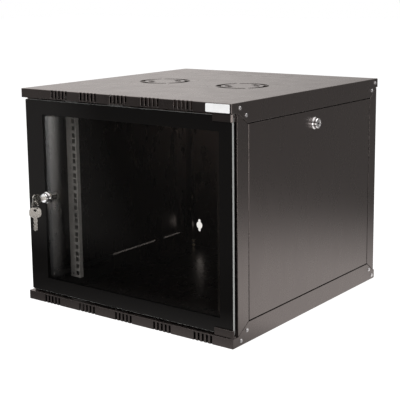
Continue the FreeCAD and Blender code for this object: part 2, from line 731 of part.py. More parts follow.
def hex_outline(x, y, flats):
    """A hexagon with two flats square to the first axis."""
    apex = f"{flats} / sqrt(3)"
    return [(f"{x} + {flats} / 2", f"{y} - {apex} / 2"), (f"{x} + {flats} / 2", f"{y} + {apex} / 2"),
            (x, f"{y} + {apex}"), (f"{x} - {flats} / 2", f"{y} + {apex} / 2"),
            (f"{x} - {flats} / 2", f"{y} - {apex} / 2"), (x, f"{y} - {apex}")]


# ---------------------------------------------------------------- glass door

GLASS_EDGE = f"{HALF_WIDTH} - glass_side_gap"
GLASS_FRONT = f"{FRONT} + glass_setback"
GLASS_BACK = f"{FRONT} + glass_setback + glass_thickness"
DOOR_LOCK_X = f"-({GLASS_EDGE}) + door_lock_inset"
PIVOT_X = f"{HALF_WIDTH} - pivot_side_inset"
PIVOT_Y = f"{FRONT} + glass_setback + glass_thickness / 2 - 0.2"


def make_door():
    glass = new_body("door_glass")
    low, high = "glass_end_gap", "cabinet_height - glass_end_gap"
    extrude(glass, "XZ", [rounded_rectangle(f"-({GLASS_EDGE})", low, GLASS_EDGE, high, "glass_corner_radius")],
            GLASS_FRONT, GLASS_BACK)
    cut(glass, "XZ", [], GLASS_FRONT, GLASS_BACK,
        [(DOOR_LOCK_X, MIDDLE, "lock_barrel_radius + lock_hole_clearance")])
    border = new_body("door_glass_border")
    span = GLASS_BACK, f"{GLASS_BACK} + border_thickness"
    extrude(border, "XZ", [rounded_rectangle(f"-({GLASS_EDGE})", low, GLASS_EDGE, high, "glass_corner_radius")], *span)
    window_edge = f"{GLASS_EDGE} - border_width"
    cut(border, "XZ", [rounded_rectangle(f"-({window_edge})", f"{low} + border_width", window_edge,
                                         f"{high} - border_width", "border_corner_radius")], *span)


def clamp_outline(thickness_front, thickness_back):
    """Plan of a hinge clamp: a bar with a round end on the pivot."""
    left = f"{PIVOT_X} - clamp_length"
    return [(PIVOT_X, f"{PIVOT_Y} + {thickness_back}", PIVOT_X, PIVOT_Y, 1),
            (left, f"{PIVOT_Y} + {thickness_back}"), (left, f"{PIVOT_Y} - {thickness_front}"),
            (PIVOT_X, f"{PIVOT_Y} - {thickness_front}")]


def make_hinge(name, top):
    """A clamp over the corner of the glass, turning on a pin in the pan's lip."""
    clamp = new_body(f"hinge_clamp_{name}")
    near_lip = raised("front_flange_height + clamp_lip_gap", top)
    over_glass = raised("glass_end_gap + clamp_overlap", top)
    glass_end = raised("glass_end_gap - clamp_pad", top)
    extrude(clamp, "XY", [clamp_outline("clamp_radius", "clamp_radius")], near_lip, over_glass)
    left, right = f"{PIVOT_X} - clamp_length - 1", f"{GLASS_EDGE} + 20"
    slot = rectangle(left, f"{GLASS_FRONT} - clamp_pad", right, f"{GLASS_BACK} + border_thickness + clamp_pad")
    cut(clamp, "XY", [slot], glass_end, raised("glass_end_gap + clamp_overlap + 1", top))
    cut(clamp, "XY", [], near_lip, glass_end, [(PIVOT_X, PIVOT_Y, "pivot_pin_radius + pivot_clearance")])
    screw_z = raised("glass_end_gap + clamp_overlap / 2", top)
    screws = [(f"{PIVOT_X} - clamp_length * {share}", screw_z, "clamp_screw_radius + pivot_clearance")
              for share in (0.3, 0.75)]
    cut(clamp, "XZ", [], f"{GLASS_BACK} + border_thickness + clamp_pad", f"{PIVOT_Y} + clamp_radius", screws)
    return clamp


def make_hinge_fittings():
    pads = new_body("hinge_clamp_pads")
    screws = new_body("hinge_clamp_screws")
    pins = new_body("hinge_pins")
    washers = new_body("hinge_washers")
    left, right = f"{PIVOT_X} - clamp_length + 1", f"{PIVOT_X} - 1"
    for top in LEVELS.values():
        level = raised("glass_end_gap + 0.5", top), raised("glass_end_gap + clamp_overlap - 0.5", top)
        extrude(pads, "XY", [rectangle(left, f"{GLASS_FRONT} - clamp_pad", right, GLASS_FRONT)], *level)
        extrude(pads, "XY", [rectangle(left, f"{GLASS_BACK} + border_thickness", right,
                                       f"{GLASS_BACK} + border_thickness + clamp_pad")], *level)
        screw_z = raised("glass_end_gap + clamp_overlap / 2", top)
        extrude(screws, "XZ", [], f"{GLASS_BACK} + border_thickness + clamp_pad", f"{PIVOT_Y} + clamp_radius - 0.3",
                [(f"{PIVOT_X} - clamp_length * {share}", screw_z, "clamp_screw_radius") for share in (0.3, 0.75)])
        lip_inside = raised("front_flange_height - pan_sheet", top)
        lip_outside = raised("front_flange_height", top)
        extrude(pins, "XY", [], lip_inside, raised("glass_end_gap - clamp_pad - 0.5", top),
                [(PIVOT_X, PIVOT_Y, "pivot_pin_radius")])
        extrude(pins, "XY", [], raised("front_flange_height - pan_sheet - pivot_head_height", top), lip_inside,
                [(PIVOT_X, PIVOT_Y, "pivot_head_radius")])
        extrude(washers, "XY", [], lip_outside, raised("front_flange_height + clamp_washer", top),
                [(PIVOT_X, PIVOT_Y, "clamp_radius - 0.5")])
        cut(washers, "XY", [], lip_outside, raised("front_flange_height + clamp_washer", top),
            [(PIVOT_X, PIVOT_Y, "pivot_pin_radius + pivot_clearance")])


def make_door_stop():
    """A bent clip under the top lip that the closed glass rests against."""
    stop = new_body("door_stop")
    lip = raised("front_flange_height", True)
    left, right = "-stop_offset - stop_width / 2", "-stop_offset + stop_width / 2"
    leg_front = f"{FRONT} + front_lip_width"
    extrude(stop, "XY", [rectangle(left, f"{FRONT} + glass_setback - 3", right, f"{leg_front} + stop_sheet")],
            f"{lip} - stop_sheet", lip)
    extrude(stop, "XZ", [rectangle(left, f"{lip} - stop_drop", right, lip)], leg_front, f"{leg_front} + stop_sheet")
    bumper = new_body("door_stop_bumper")
    extrude(bumper, "XZ", [], f"{GLASS_BACK} + border_thickness + seat_gap", leg_front,
            [("-stop_offset", f"{lip} - stop_drop + stop_bumper_radius + 1.5", "stop_bumper_radius")])


# ---------------------------------------------------------------- keys

KEY_HOLE_REACH = "(key_shoulder + key_bow_length - key_hole_margin)"


def make_key(label):
    """A flat key along its own Z: blade down in the plug, bow up, hole near the bow's far edge."""
    body = new_body(label)
    blade, half, rounding = "key_blade_width / 2", "key_bow_width / 2", "key_bow_round"
    start, end, tip = "key_shoulder", "(key_shoulder + key_bow_length)", "lock_collar_height - key_insertion"
    shape = [(blade, start), (f"{half} - {rounding}", start),
             (half, f"{start} + {rounding}", f"{half} - {rounding}", f"{start} + {rounding}", 1),
             (half, f"{end} - {rounding}"),
             (f"{half} - {rounding}", end, f"{half} - {rounding}", f"{end} - {rounding}", 1),
             (f"-({half} - {rounding})", end),
             (f"-{half}", f"{end} - {rounding}", f"-({half} - {rounding})", f"{end} - {rounding}", 1),
             (f"-{half}", f"{start} + {rounding}"),
             (f"-({half} - {rounding})", start, f"-({half} - {rounding})", f"{start} + {rounding}", 1),
             (f"-{blade}", start), (f"-{blade}", f"{tip} + 2"), (f"-{blade} + 2.5", tip), (blade, f"{tip} + 3")]
    extrude(body, "YZ", [shape], "-key_sheet / 2", "key_sheet / 2")
    cut(body, "YZ", [], "-key_sheet / 2", "key_sheet / 2", [("0", KEY_HOLE_REACH, "key_hole_radius")])
    notch = [(f"{blade} + 1", f"{tip} + 4.2"), (f"{blade} + 1", f"{tip} + 7.4"), (f"{blade} - key_notch", f"{tip} + 5.8")]
    teeth = cut(body, "YZ", [notch], "-key_sheet / 2", "key_sheet / 2")
    repeat(body, teeth, "V_Axis", "3.4", "4")
    return body


def make_keys():
    hole_y = f"{GLASS_FRONT} - {KEY_HOLE_REACH}"
    place(make_key("door_key"), DOOR_LOCK_X, GLASS_FRONT, MIDDLE, (1, 0, 0), 90)
    wire_top = f"{MIDDLE} - (key_hole_radius - ring_wire_radius - ring_seat_gap)"
    ring = document.addObject("Part::Torus", "key_ring")
    ring.Label = "key_ring"
    ring.setExpression("Radius1", bound("ring_radius"))
    ring.setExpression("Radius2", bound("ring_wire_radius"))
    place(ring, DOOR_LOCK_X, hole_y, f"{wire_top} - ring_radius", (1, 0, 0), 90)
    SUB_PARTS.append(ring)
    wire_bottom = f"{wire_top} - 2 * ring_radius"
    place(make_key("spare_key"), DOOR_LOCK_X, hole_y, f"{wire_bottom} - spare_key_drop - {KEY_HOLE_REACH}",
          (0, 0, 1), -45)


# ---------------------------------------------------------------- rails

RAIL_BOTTOM = "rail_end_gap"
RAIL_TOP = "cabinet_height - rail_end_gap"
RACK_UNITS = "floor((cabinet_height - 2 * rail_end_gap) / rack_unit)"
RAIL_FRONT = f"{FRONT} + rail_setback"
RAIL_OUTSIDE = f"{HALF_WIDTH} - rail_side_gap"
SUPPORT_INSIDE = f"{RAIL_OUTSIDE} + support_gap"
SUPPORT_OUTSIDE = f"{SUPPORT_INSIDE} + support_sheet"


def rail_bolt_places():
    """(y, z) of the four bolts that clamp a rail to its two supports."""
    first = f"{RAIL_FRONT} + rail_bolt_first"
    return [(y, raised("rail_bolt_height", top)) for top in LEVELS.values() for y in (first, f"{first} + rail_bolt_pitch")]


def make_rail(label, side):
    """A folded 19 inch rail: face with square holes, side return and a narrow inner fold."""
    body = new_body(label)
    extrude(body, "XZ", [rectangle(mirrored(side, "rack_opening / 2"), RAIL_BOTTOM, mirrored(side, RAIL_OUTSIDE), RAIL_TOP)],
            RAIL_FRONT, f"{RAIL_FRONT} + rail_sheet")
    extrude(body, "XY", [rectangle(mirrored(side, f"{RAIL_OUTSIDE} - rail_sheet"), RAIL_FRONT, mirrored(side, RAIL_OUTSIDE),
                                   f"{RAIL_FRONT} + rail_depth"),
                         ], RAIL_BOTTOM, RAIL_TOP)
    extrude(body, "XY", [rectangle(mirrored(side, "rack_opening / 2"), RAIL_FRONT,
                                   mirrored(side, "rack_opening / 2 + 1.5"), f"{RAIL_FRONT} + rail_inner_fold")],
            RAIL_BOTTOM, RAIL_TOP)
    squares = []
    middle = mirrored(side, "rack_opening / 2 + rack_hole_inset")
    half = "rack_hole_side / 2"
    for step in (-1, 0, 1):
        height = f"{MIDDLE} - ({RACK_UNITS} - 1) / 2 * rack_unit + {step} * rack_hole_step"
        squares.append(rectangle(f"{middle} - {half}", f"{height} - {half}", f"{middle} + {half}", f"{height} + {half}"))
    span = f"{RAIL_FRONT} - 0.5", f"{RAIL_FRONT} + rail_sheet"
    unit = cut(body, "XZ", squares, *span)
    repeat(body, unit, "V_Axis", "rack_unit", RACK_UNITS)
    cut(body, "XZ", [], *span, [(mirrored(side, f"{RAIL_OUTSIDE} - rail_sheet - rail_face_hole_inset"), z,
                                 "rail_face_hole_radius")
                                for z in (f"{RAIL_BOTTOM} + rail_face_hole_margin", f"{RAIL_TOP} - rail_face_hole_margin")])
    cut(body, "YZ", [], mirrored(side, f"{RAIL_OUTSIDE} - rail_sheet - 0.5"), mirrored(side, RAIL_OUTSIDE),
        [(y, z, "rail_bolt_radius + screw_clearance") for y, z in rail_bolt_places()])


def make_support(label, side, top):
    """An angle on a pan's floor with one long slot, along which a rail is set in depth."""
    body = new_body(label)
    start, end = f"{FRONT} + support_start", f"{FRONT} + support_start + support_length"
    base = raised("pan_sheet", top)
    upright = rectangle(start, base, end, raised("pan_sheet + support_height", top))
    extrude(body, "YZ", [upright], mirrored(side, SUPPORT_INSIDE), mirrored(side, SUPPORT_OUTSIDE))
    foot = rectangle(mirrored(side, SUPPORT_INSIDE), start, mirrored(side, f"{SUPPORT_INSIDE} + support_foot"), end)
    extrude(body, "XY", [foot], base, raised("pan_sheet + support_sheet", top))
    radius = "(rail_bolt_radius + 0.4)"
    height = raised("rail_bolt_height", top)
    near_end = f"{RAIL_FRONT} + rail_bolt_first - rail_forward_travel"
    far_end = f"{RAIL_FRONT} + rail_bolt_first + rail_bolt_pitch + rail_backward_travel"
    slot = [(far_end, f"{height} - {radius}"), (far_end, f"{height} + {radius}", far_end, height, 1),
            (near_end, f"{height} + {radius}"), (near_end, f"{height} - {radius}", near_end, height, 1)]
    cut(body, "YZ", [slot], mirrored(side, f"{SUPPORT_INSIDE} - 1"), mirrored(side, f"{SUPPORT_OUTSIDE} + 1"))


def make_rail_bolts(name, side):
    places = rail_bolt_places()
    bolts = new_body(f"rail_bolts_{name}")
    inner_face = f"{RAIL_OUTSIDE} - rail_sheet"
    extrude(bolts, "YZ", [hex_outline(y, z, "2 * rail_bolt_head_radius * 0.866") for y, z in places],
            mirrored(side, f"{inner_face} - rail_bolt_head_height"), mirrored(side, inner_face))
    nut_start = f"{SUPPORT_OUTSIDE} + support_gap"
    extrude(bolts, "YZ", [], mirrored(side, inner_face), mirrored(side, f"{nut_start} + rail_bolt_head_height + 1.5"),
            [(y, z, "rail_bolt_radius") for y, z in places])
    nuts = new_body(f"rail_nuts_{name}")
    span = mirrored(side, nut_start), mirrored(side, f"{nut_start} + rail_bolt_head_height")
    extrude(nuts, "YZ", [hex_outline(y, z, "2 * rail_bolt_head_radius * 0.866") for y, z in places], *span)
    cut(nuts, "YZ", [], *span, [(y, z, "rail_bolt_radius + pivot_clearance") for y, z in places])


# ---------------------------------------------------------------- fasteners and fittings

def make_screws(label, plane, places, face, direction):
    """Screws with flat washers: head outside the face, shank through it.  direction is out."""
    body = new_body(label)
    levels = [face, f"{face} + {direction} * screw_washer", f"{face} + {direction} * screw_head_height"]
    for level, radius in zip(range(2), ("screw_head_radius", "screw_head_radius - 0.8")):
        extrude(body, plane, [], levels[level], levels[level + 1], [(*place_at, radius) for place_at in places])
    extrude(body, plane, [], f"{face} - {direction} * (pan_sheet + post_sheet + screw_grip)", face,
            [(*place_at, "screw_radius") for place_at in places])


def make_fasteners():
    for name, side in SIDES.items():
        places = [place_at for top in LEVELS.values() for place_at in corner_screw_places(top)]
        make_screws(f"corner_screws_{name}", "YZ", places, mirrored(side, HALF_WIDTH), side)
    places = [(mirrored(side, BACK_SCREW_X), z) for side in SIDES.values() for z in BACK_SCREW_HEIGHTS]
    make_screws("back_panel_screws", "XZ", places, f"{BACK} - rear_mitre_start + back_sheet", 1)


def make_label_plate():
    body = new_body("label_plate")
    right = f"{HALF_WIDTH} - label_side_inset"
    top = "cabinet_height - (front_flange_height - label_height) / 2"
    extrude(body, "XZ", [rounded_rectangle(f"{right} - label_width", f"{top} - label_height", right, top, "label_round")],
            f"{FRONT} - label_thickness", FRONT)


def make_earth_stud():
    x, y = f"-{HALF_WIDTH} + stud_side_inset", f"{BACK} - stud_back_inset"
    stud = new_body("earth_stud")
    extrude(stud, "XY", [], "pan_sheet", "pan_sheet + stud_height", [(x, y, "stud_radius")])
    nuts = new_body("earth_stud_nuts")
    for height in ("pan_sheet + 3", "pan_sheet + stud_height - stud_nut_height - 3"):
        span = height, f"{height} + stud_nut_height"
        extrude(nuts, "XY", [hex_outline(x, y, "stud_nut_flats")], *span)
        cut(nuts, "XY", [], *span, [(x, y, "stud_radius + pivot_clearance")])


# ---------------------------------------------------------------- the cabinet

make_pan("bottom_pan", False)
add_hook_slots(SUB_PARTS[-1])
make_pan("top_pan", True)
add_fan_grilles(SUB_PARTS[-1])
for side_name, side_sign in SIDES.items():
    make_post(f"front_post_{side_name}", side_sign, True)
    make_post(f"rear_post_{side_name}", side_sign, False)
    make_side_panel(f"side_panel_{side_name}", side_sign)
    make_rail(f"rail_{side_name}", side_sign)
    make_rail_bolts(side_name, side_sign)
    for level_name, is_top in LEVELS.items():
        make_support(f"rail_support_{level_name}_{side_name}", side_sign, is_top)
    make_lock(f"side_{side_name}", "panel_lock_length", "panel_sheet",
              (mirrored(side_sign, HALF_WIDTH), PANEL_MIDDLE, PANEL_LOCK_Z), (0, 1, 0), 90 * side_sign, (0, 1))
make_back_panel()
make_door()
for level_name, is_top in LEVELS.items():
    make_hinge(level_name, is_top)
make_hinge_fittings()
make_door_stop()
make_lock("door", "door_lock_length", "(glass_thickness + border_thickness)",
          (DOOR_LOCK_X, GLASS_FRONT, MIDDLE), (1, 0, 0), 90, (0, -1))
make_keys()
make_fasteners()
make_label_plate()
make_earth_stud()

document.recompute()
for item in document.Objects:
    if "Invalid" in item.State or "Error" in item.State:
        raise ValueError(f"{item.Label} did not compute: {item.State}")
os.makedirs("parts", exist_ok=True)
for sub_part in SUB_PARTS:
    shape = sub_part.Shape
    if shape.isNull() or not shape.isValid() or not shape.Solids:
        raise ValueError(f"{sub_part.Label} is not a valid solid")
    shape.exportStep(f"parts/{sub_part.Label}.step")
    print(f"{sub_part.Label}: {len(shape.Solids)} solid(s), {shape.Volume:.0f} mm3")
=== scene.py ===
"""Finishes, small fittings and a studio for a wall mount network cabinet.

The packed model is the fixed frame.  This add-on coats it, finishes its glass, locks, keys,
rails and fasteners, adds the pieces that are too fine for the model, and sets up the floor,
lamps and camera.  Everything is in metres, in the frame of the model.
"""
import math

import bmesh
import bpy
from bpy.props import FloatProperty, FloatVectorProperty, IntProperty, PointerProperty
from mathutils import Matrix, Vector


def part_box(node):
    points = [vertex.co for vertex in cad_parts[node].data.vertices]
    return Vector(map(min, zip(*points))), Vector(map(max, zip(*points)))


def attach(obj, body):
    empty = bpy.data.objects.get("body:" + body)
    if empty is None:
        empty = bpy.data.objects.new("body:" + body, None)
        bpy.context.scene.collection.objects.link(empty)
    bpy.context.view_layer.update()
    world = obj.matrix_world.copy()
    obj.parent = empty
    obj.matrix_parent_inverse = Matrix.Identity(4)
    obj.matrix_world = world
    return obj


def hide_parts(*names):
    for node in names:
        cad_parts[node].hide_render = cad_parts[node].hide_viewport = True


bl_info = {
    "name": "Network Cabinet",
    "version": (1, 0, 0),
    "blender": (4, 5, 0),
    "location": "View3D > Sidebar > Cabinet",
    "description": "Finishes, fine fittings and studio for a wall mount network cabinet",
    "category": "Object",
}

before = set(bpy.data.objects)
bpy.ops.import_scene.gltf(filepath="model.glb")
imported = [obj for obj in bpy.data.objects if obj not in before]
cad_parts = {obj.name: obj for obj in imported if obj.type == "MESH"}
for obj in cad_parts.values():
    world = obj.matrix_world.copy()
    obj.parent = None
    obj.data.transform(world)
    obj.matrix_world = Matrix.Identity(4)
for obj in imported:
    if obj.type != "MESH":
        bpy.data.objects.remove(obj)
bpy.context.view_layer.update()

SHEET_METAL = ("top_pan", "bottom_pan", "back_panel", "front_post_left", "front_post_right",
               "rear_post_left", "rear_post_right", "side_panel_left", "side_panel_right")
RAIL_SUPPORTS = ("rail_support_bottom_left", "rail_support_bottom_right",
                 "rail_support_top_left", "rail_support_top_right")
LOCK_NODES = tuple(f"{lock}_lock_{piece}" for lock in ("door", "side_left", "side_right")
                   for piece in ("body", "plug", "nut"))
CAM_NODES = ("door_lock_cam", "side_left_lock_cam", "side_right_lock_cam", "door_cam_screw",
             "side_left_cam_screw", "side_right_cam_screw")
FASTENER_NODES = ("rail_bolts_left", "rail_bolts_right", "rail_nuts_left", "rail_nuts_right",
                  "hinge_pins", "hinge_washers", "hinge_clamp_screws", "earth_stud", "door_stop")
SCREW_NODES = (("corner_screws_left", (-1, 0, 0)), ("corner_screws_right", (1, 0, 0)),
               ("back_panel_screws", (0, 1, 0)))

# Screws: the sides of a turned disc, the head's and shank's width as shares of the washer's,
# the share of the head that is domed, and how far the first cross and each next one is turned.
DISC_SIDES = 32
HEAD_SHARE = 0.82
SHANK_SHARE = 0.5
DOME_SHARE = 0.75
FIRST_TURN, NEXT_TURN = 0.4, 1.1

# Key ring: the wire's sides, the steps in a turn, and the wire's width as a share of the depth
# of the ring's space.
WIRE_SIDES = 12
STEPS_PER_TURN = 48
WIRE_SHARE = 0.92

# What glass sends back of light that meets it squarely.
SQUARE_GLOSS = 0.035

# The floor's glow: white to the camera, and to gloss a light pool beside the cabinet, a dim
# room in front of it and a bright corner at its right.  A field is (from, to) along an axis
# and (from, to) in strength.
FLOOR_WHITE = 0.80
POOL_FADE = (1.0, 0.18)
POOL_ALONG_Y = ((-0.45, -0.10), (0, 1))
ROOM_FLOOR_Y = (-0.80, -0.55)
ROOM_FLOOR_ACROSS = ((0.05, 0.40), (1, 0.1))
CORNER_ALONG_X = ((0.5, 0.9), (0, 2.5))
CORNER_ALONG_Y = ((-0.60, -0.35), (1, 0))

# The world's glow to gloss, as fields along the axes of the direction looked in: bright behind
# the cabinet towards its left, dim in front and bright overhead.
BEHIND_ALONG_Y = ((0.0, 0.5), (0.04, 1.0))
LEFT_ALONG_X = ((-0.60, -0.25), (1.0, 0.15))
ROOM_WORLD_Y = (-0.5, 0.0)
ABOVE_ALONG_Z = ((0.30, 0.65), (0, 1))

# The card's glow: where its fade starts from the left edge, how steep that fade is, the
# strength at the foot, and how steeply it grows towards the top.
CARD_START = 0.009
CARD_FADE = 1.6
CARD_FOOT = 0.12
CARD_RISE = 1.3


# ------------------------------------------------------------------ settings

class CoatSettings(bpy.types.PropertyGroup):
    """The powder coat on the sheet metal."""
    colour: FloatVectorProperty(
        name="Coat colour", description="Colour of the powder coat", subtype="COLOR", size=3,
        min=0, max=1, default=(0.0060, 0.0047, 0.0044))
    roughness: FloatProperty(
        name="Roughness", description="Sheen of the coat, 0 is a mirror", subtype="FACTOR",
        min=0, max=1, default=0.28)
    gloss: FloatProperty(
        name="Gloss", description="Refractive index of the coat", min=1, max=3, default=2.3)
    sheen_tint: FloatVectorProperty(
        name="Sheen tint", description="Colour of the coat's gloss", subtype="COLOR", size=3,
        min=0, max=1, default=(1.0, 0.89, 0.86))
    grain: FloatProperty(
        name="Grain", description="Width of one dimple of the coat", unit="LENGTH",
        min=0.0002, max=0.01, default=0.0012)
    edge_round: FloatProperty(
        name="Edge rounding", description="How far the coat rounds sharp edges", unit="LENGTH",
        min=0, max=0.003, default=0.0012)


class GlassSettings(bpy.types.PropertyGroup):
    """The toughened glass of the door."""
    tint: FloatVectorProperty(
        name="Tint", description="Colour that the glass lets through", subtype="COLOR", size=3,
        min=0, max=1, default=(0.86, 0.85, 0.83))
    border: FloatVectorProperty(
        name="Border colour", description="Colour of the fired border", subtype="COLOR", size=3,
        min=0, max=1, default=(0.0055, 0.0050, 0.0048))
    border_width: FloatProperty(
        name="Border width", description="Width of the fired border", unit="LENGTH",
        min=0, max=0.1, default=0.030)
    lock_border_width: FloatProperty(
        name="Lock border width", description="Width of the border at the lock", unit="LENGTH",
        min=0, max=0.1, default=0.048)
    edge: FloatVectorProperty(
        name="Edge colour", description="Colour of the ground edges", subtype="COLOR", size=3,
        min=0, max=1, default=(0.75, 0.76, 0.74))


class MetalSettings(bpy.types.PropertyGroup):
    """The bare and plated metal."""
    zinc: FloatVectorProperty(
        name="Zinc colour", description="Colour of the zinc-plated steel", subtype="COLOR",
        size=3, min=0, max=1, default=(0.50, 0.50, 0.51))
    chrome: FloatVectorProperty(
        name="Chrome colour", description="Colour of the chrome plate", subtype="COLOR",
        size=3, min=0, max=1, default=(0.92, 0.92, 0.93))
    nickel: FloatVectorProperty(
        name="Key colour", description="Colour of the nickel-plated keys", subtype="COLOR",
        size=3, min=0, max=1, default=(0.66, 0.64, 0.60))
    brass: FloatVectorProperty(
        name="Brass colour", description="Colour of the earth stud's nuts", subtype="COLOR",
        size=3, min=0, max=1, default=(0.74, 0.68, 0.55))


class FittingSettings(bpy.types.PropertyGroup):
    """Sizes of the fine fittings."""
    recess_depth: FloatProperty(
        name="Recess depth", description="Depth of the cross in a screw head", unit="LENGTH",
        min=0.0002, max=0.003, default=0.0012)
    recess_span: FloatProperty(
        name="Recess span", description="Width across the cross in a screw head", unit="LENGTH",
        min=0.001, max=0.01, default=0.0040)
    washer: FloatProperty(
        name="Washer", description="Thickness of the washer under a screw head", unit="LENGTH",
        min=0.0002, max=0.002, default=0.0008)
    head_height: FloatProperty(
        name="Head height", description="Height of a screw head with its washer", unit="LENGTH",
        min=0.001, max=0.005, default=0.0020)
    recess_arm: FloatProperty(
        name="Recess arm", description="Width of one arm of the cross", unit="LENGTH",
        min=0.0002, max=0.003, default=0.0009)
    ring_turns: IntProperty(
        name="Ring turns", description="Turns of wire in the split key ring",
        min=1, max=4, default=2)
    ring_gap: FloatProperty(
        name="Ring gap", description="Gap between the turns of the split ring", unit="LENGTH",
        min=0.00002, max=0.0005, default=0.00008)


class StudioSettings(bpy.types.PropertyGroup):
    """The camera, floor, background and lamps."""
    azimuth: FloatProperty(
        name="Azimuth", description="Camera's turn round the cabinet", subtype="ANGLE",
        default=math.radians(37.03))
    elevation: FloatProperty(
        name="Elevation", description="Camera's angle above the horizon", subtype="ANGLE",
        default=math.radians(9.99))
    roll: FloatProperty(
        name="Roll", description="Camera's turn round its own axis", subtype="ANGLE",
        default=math.radians(-0.654))
    place: FloatVectorProperty(
        name="Camera place", description="Where the camera stands", subtype="TRANSLATION",
        unit="LENGTH", size=3, default=(1.2806, -1.7173, 0.6676))
    lens: FloatProperty(
        name="Focal length", description="Focal length on a 36 mm sensor, in millimetres",
        min=10, max=300, default=89.36)
    rise: FloatProperty(
        name="Lens shift", description="Vertical shift of the lens",
        min=-0.5, max=0.5, default=-0.10)
    lamp_power: FloatProperty(
        name="Lamp power", description="Power of the overhead lamp", subtype="POWER",
        min=0, max=1000, default=38)
    fill_power: FloatProperty(
        name="Fill power", description="Power of the front lamp", subtype="POWER",
        min=0, max=1000, default=48)
    # The card is a glowing panel seen only in gloss, which paints a reflection on the door's
    # glass and lock.
    card: FloatVectorProperty(
        name="Card", description="Left, right, low and high edge of the white card",
        unit="LENGTH", size=4, default=(-0.359, -0.308, 0.0, 0.376))
    card_place: FloatProperty(
        name="Card place", description="Where the white card stands, along Y",
        unit="LENGTH", default=-0.42)
    card_glow: FloatProperty(
        name="Card glow", description="Brightness of the card seen in gloss",
        min=0, max=10, default=3.4)
    ambient: FloatProperty(
        name="Ambient light", description="Strength of the even light all round",
        min=0, max=2, default=0.42)
    floor_tone: FloatProperty(
        name="Floor tone", description="Lightness of the floor paper", subtype="FACTOR",
        min=0, max=1, default=0.5)
    pool_centre: FloatVectorProperty(
        name="Light pool", description="Centre of the floor's light pool",
        subtype="TRANSLATION", unit="LENGTH", size=3, default=(0.38, 0.08, 0))
    pool_inner: FloatProperty(
        name="Pool radius", description="Radius of the brightest floor", unit="LENGTH",
        min=0, max=10, default=0.22)
    pool_outer: FloatProperty(
        name="Pool reach", description="Radius at which the pool has faded", unit="LENGTH",
        min=0, max=10, default=0.85)
    room_tone: FloatProperty(
        name="Room tone", description="Lightness of the room in front, seen in gloss",
        subtype="FACTOR", min=0, max=1, default=0.2)
    backdrop: FloatVectorProperty(
        name="Background", description="Colour of the floor and background",
        subtype="COLOR", size=3, min=0, max=1, default=(1.0, 1.0, 1.0))
    gloss_backdrop: FloatVectorProperty(
        name="Gloss background", description="Background colour seen in gloss",
        subtype="COLOR", size=3, min=0, max=1, default=(1.0, 0.955, 0.93))


SETTING_GROUPS = (
    ("cabinet_coat", CoatSettings), ("cabinet_glass", GlassSettings),
    ("cabinet_metal", MetalSettings), ("cabinet_fittings", FittingSettings),
    ("cabinet_studio", StudioSettings))


# ------------------------------------------------------------------ materials

def new_material(name):
    """A material, its node tree and its Principled shader."""
    material = bpy.data.materials.new(name)
    material.use_nodes = True
    tree = material.node_tree
    return material, tree, tree.nodes["Principled BSDF"]


def add_node(tree, kind, **inputs):
    """A node of the given kind with its sockets set; a socket's spaces are written as _."""
    node = tree.nodes.new(kind)
    for name, value in inputs.items():
        node.inputs[name.replace("_", " ")].default_value = value
    return node


def object_pattern(tree, scale=(1, 1, 1), turn=(0, 0, 0)):
    """Object coordinates, stretched and turned for one pattern."""
    place = tree.nodes.new("ShaderNodeTexCoord")
    mapping = add_node(tree, "ShaderNodeMapping", Scale=scale, Rotation=turn)
    tree.links.new(place.outputs["Object"], mapping.inputs["Vector"])
    return mapping.outputs["Vector"]


def split_axes(tree, space="Object"):
    """The X, Y and Z sockets of a kind of coordinates."""
    place = tree.nodes.new("ShaderNodeTexCoord")
    parts = tree.nodes.new("ShaderNodeSeparateXYZ")
    tree.links.new(place.outputs[space], parts.inputs[0])
    return parts.outputs


def noise(tree, vector, scale, detail=3.0, roughness=0.5):
    """Soft noise from 0 to 1; scale is about its blotches in a metre."""
    node = add_node(tree, "ShaderNodeTexNoise", Scale=scale, Detail=detail,
                    Roughness=roughness)
    tree.links.new(vector, node.inputs["Vector"])
    return node.outputs["Fac"]


def spread(tree, value, taken, given):
    """Map one range of a value to another; a range is (from, to)."""
    node = add_node(tree, "ShaderNodeMapRange")
    for index, limit in enumerate((*taken, *given), 1):
        node.inputs[index].default_value = limit
    tree.links.new(value, node.inputs[0])
    return node.outputs[0]


def combine(tree, operation, *values):
    """A sum, product or other function of values; each value is a socket or a number."""
    node = tree.nodes.new("ShaderNodeMath")
    node.operation = operation
    for slot, value in zip(node.inputs, values):
        if isinstance(value, bpy.types.NodeSocket):
            tree.links.new(value, slot)
        else:
            slot.default_value = value
    return node.outputs[0]


def shade(colour, factor):
    """A colour darkened or lightened by a factor."""
    return tuple(min(1.0, channel * factor) for channel in colour)


def tones(tree, value, colour, *stops):
    """A colour made darker or lighter by a value; stops are (position, factor)."""
    ramp = tree.nodes.new("ShaderNodeValToRGB")
    for element, (position, factor) in zip(ramp.color_ramp.elements, stops):
        element.position = position
        element.color = (*shade(colour, factor), 1)
    tree.links.new(value, ramp.inputs["Fac"])
    return ramp.outputs["Color"]


def mix_colours(tree, share, colour_a):
    """A colour mix by a share; its first colour is set and its second is left open."""
    mix = tree.nodes.new("ShaderNodeMix")
    mix.data_type = "RGBA"
    tree.links.new(share, mix.inputs["Factor"])
    mix.inputs["A"].default_value = (*colour_a, 1)
    return mix


def mix_shaders(tree, share, first, second):
    """The first shader where share is 0 and the second where it is 1."""
    mix = tree.nodes.new("ShaderNodeMixShader")
    for slot, socket in zip(mix.inputs, (share, first.outputs[0], second.outputs[0])):
        tree.links.new(socket, slot)
    return mix


def mottle(tree, shader, value, colour, *stops):
    """Vary the shader's colour; stops are (position, factor)."""
    tree.links.new(tones(tree, value, colour, *stops), shader.inputs["Base Color"])


def wear(tree, shader, value, taken, given):
    """Vary the shader's roughness."""
    tree.links.new(spread(tree, value, taken, given), shader.inputs["Roughness"])


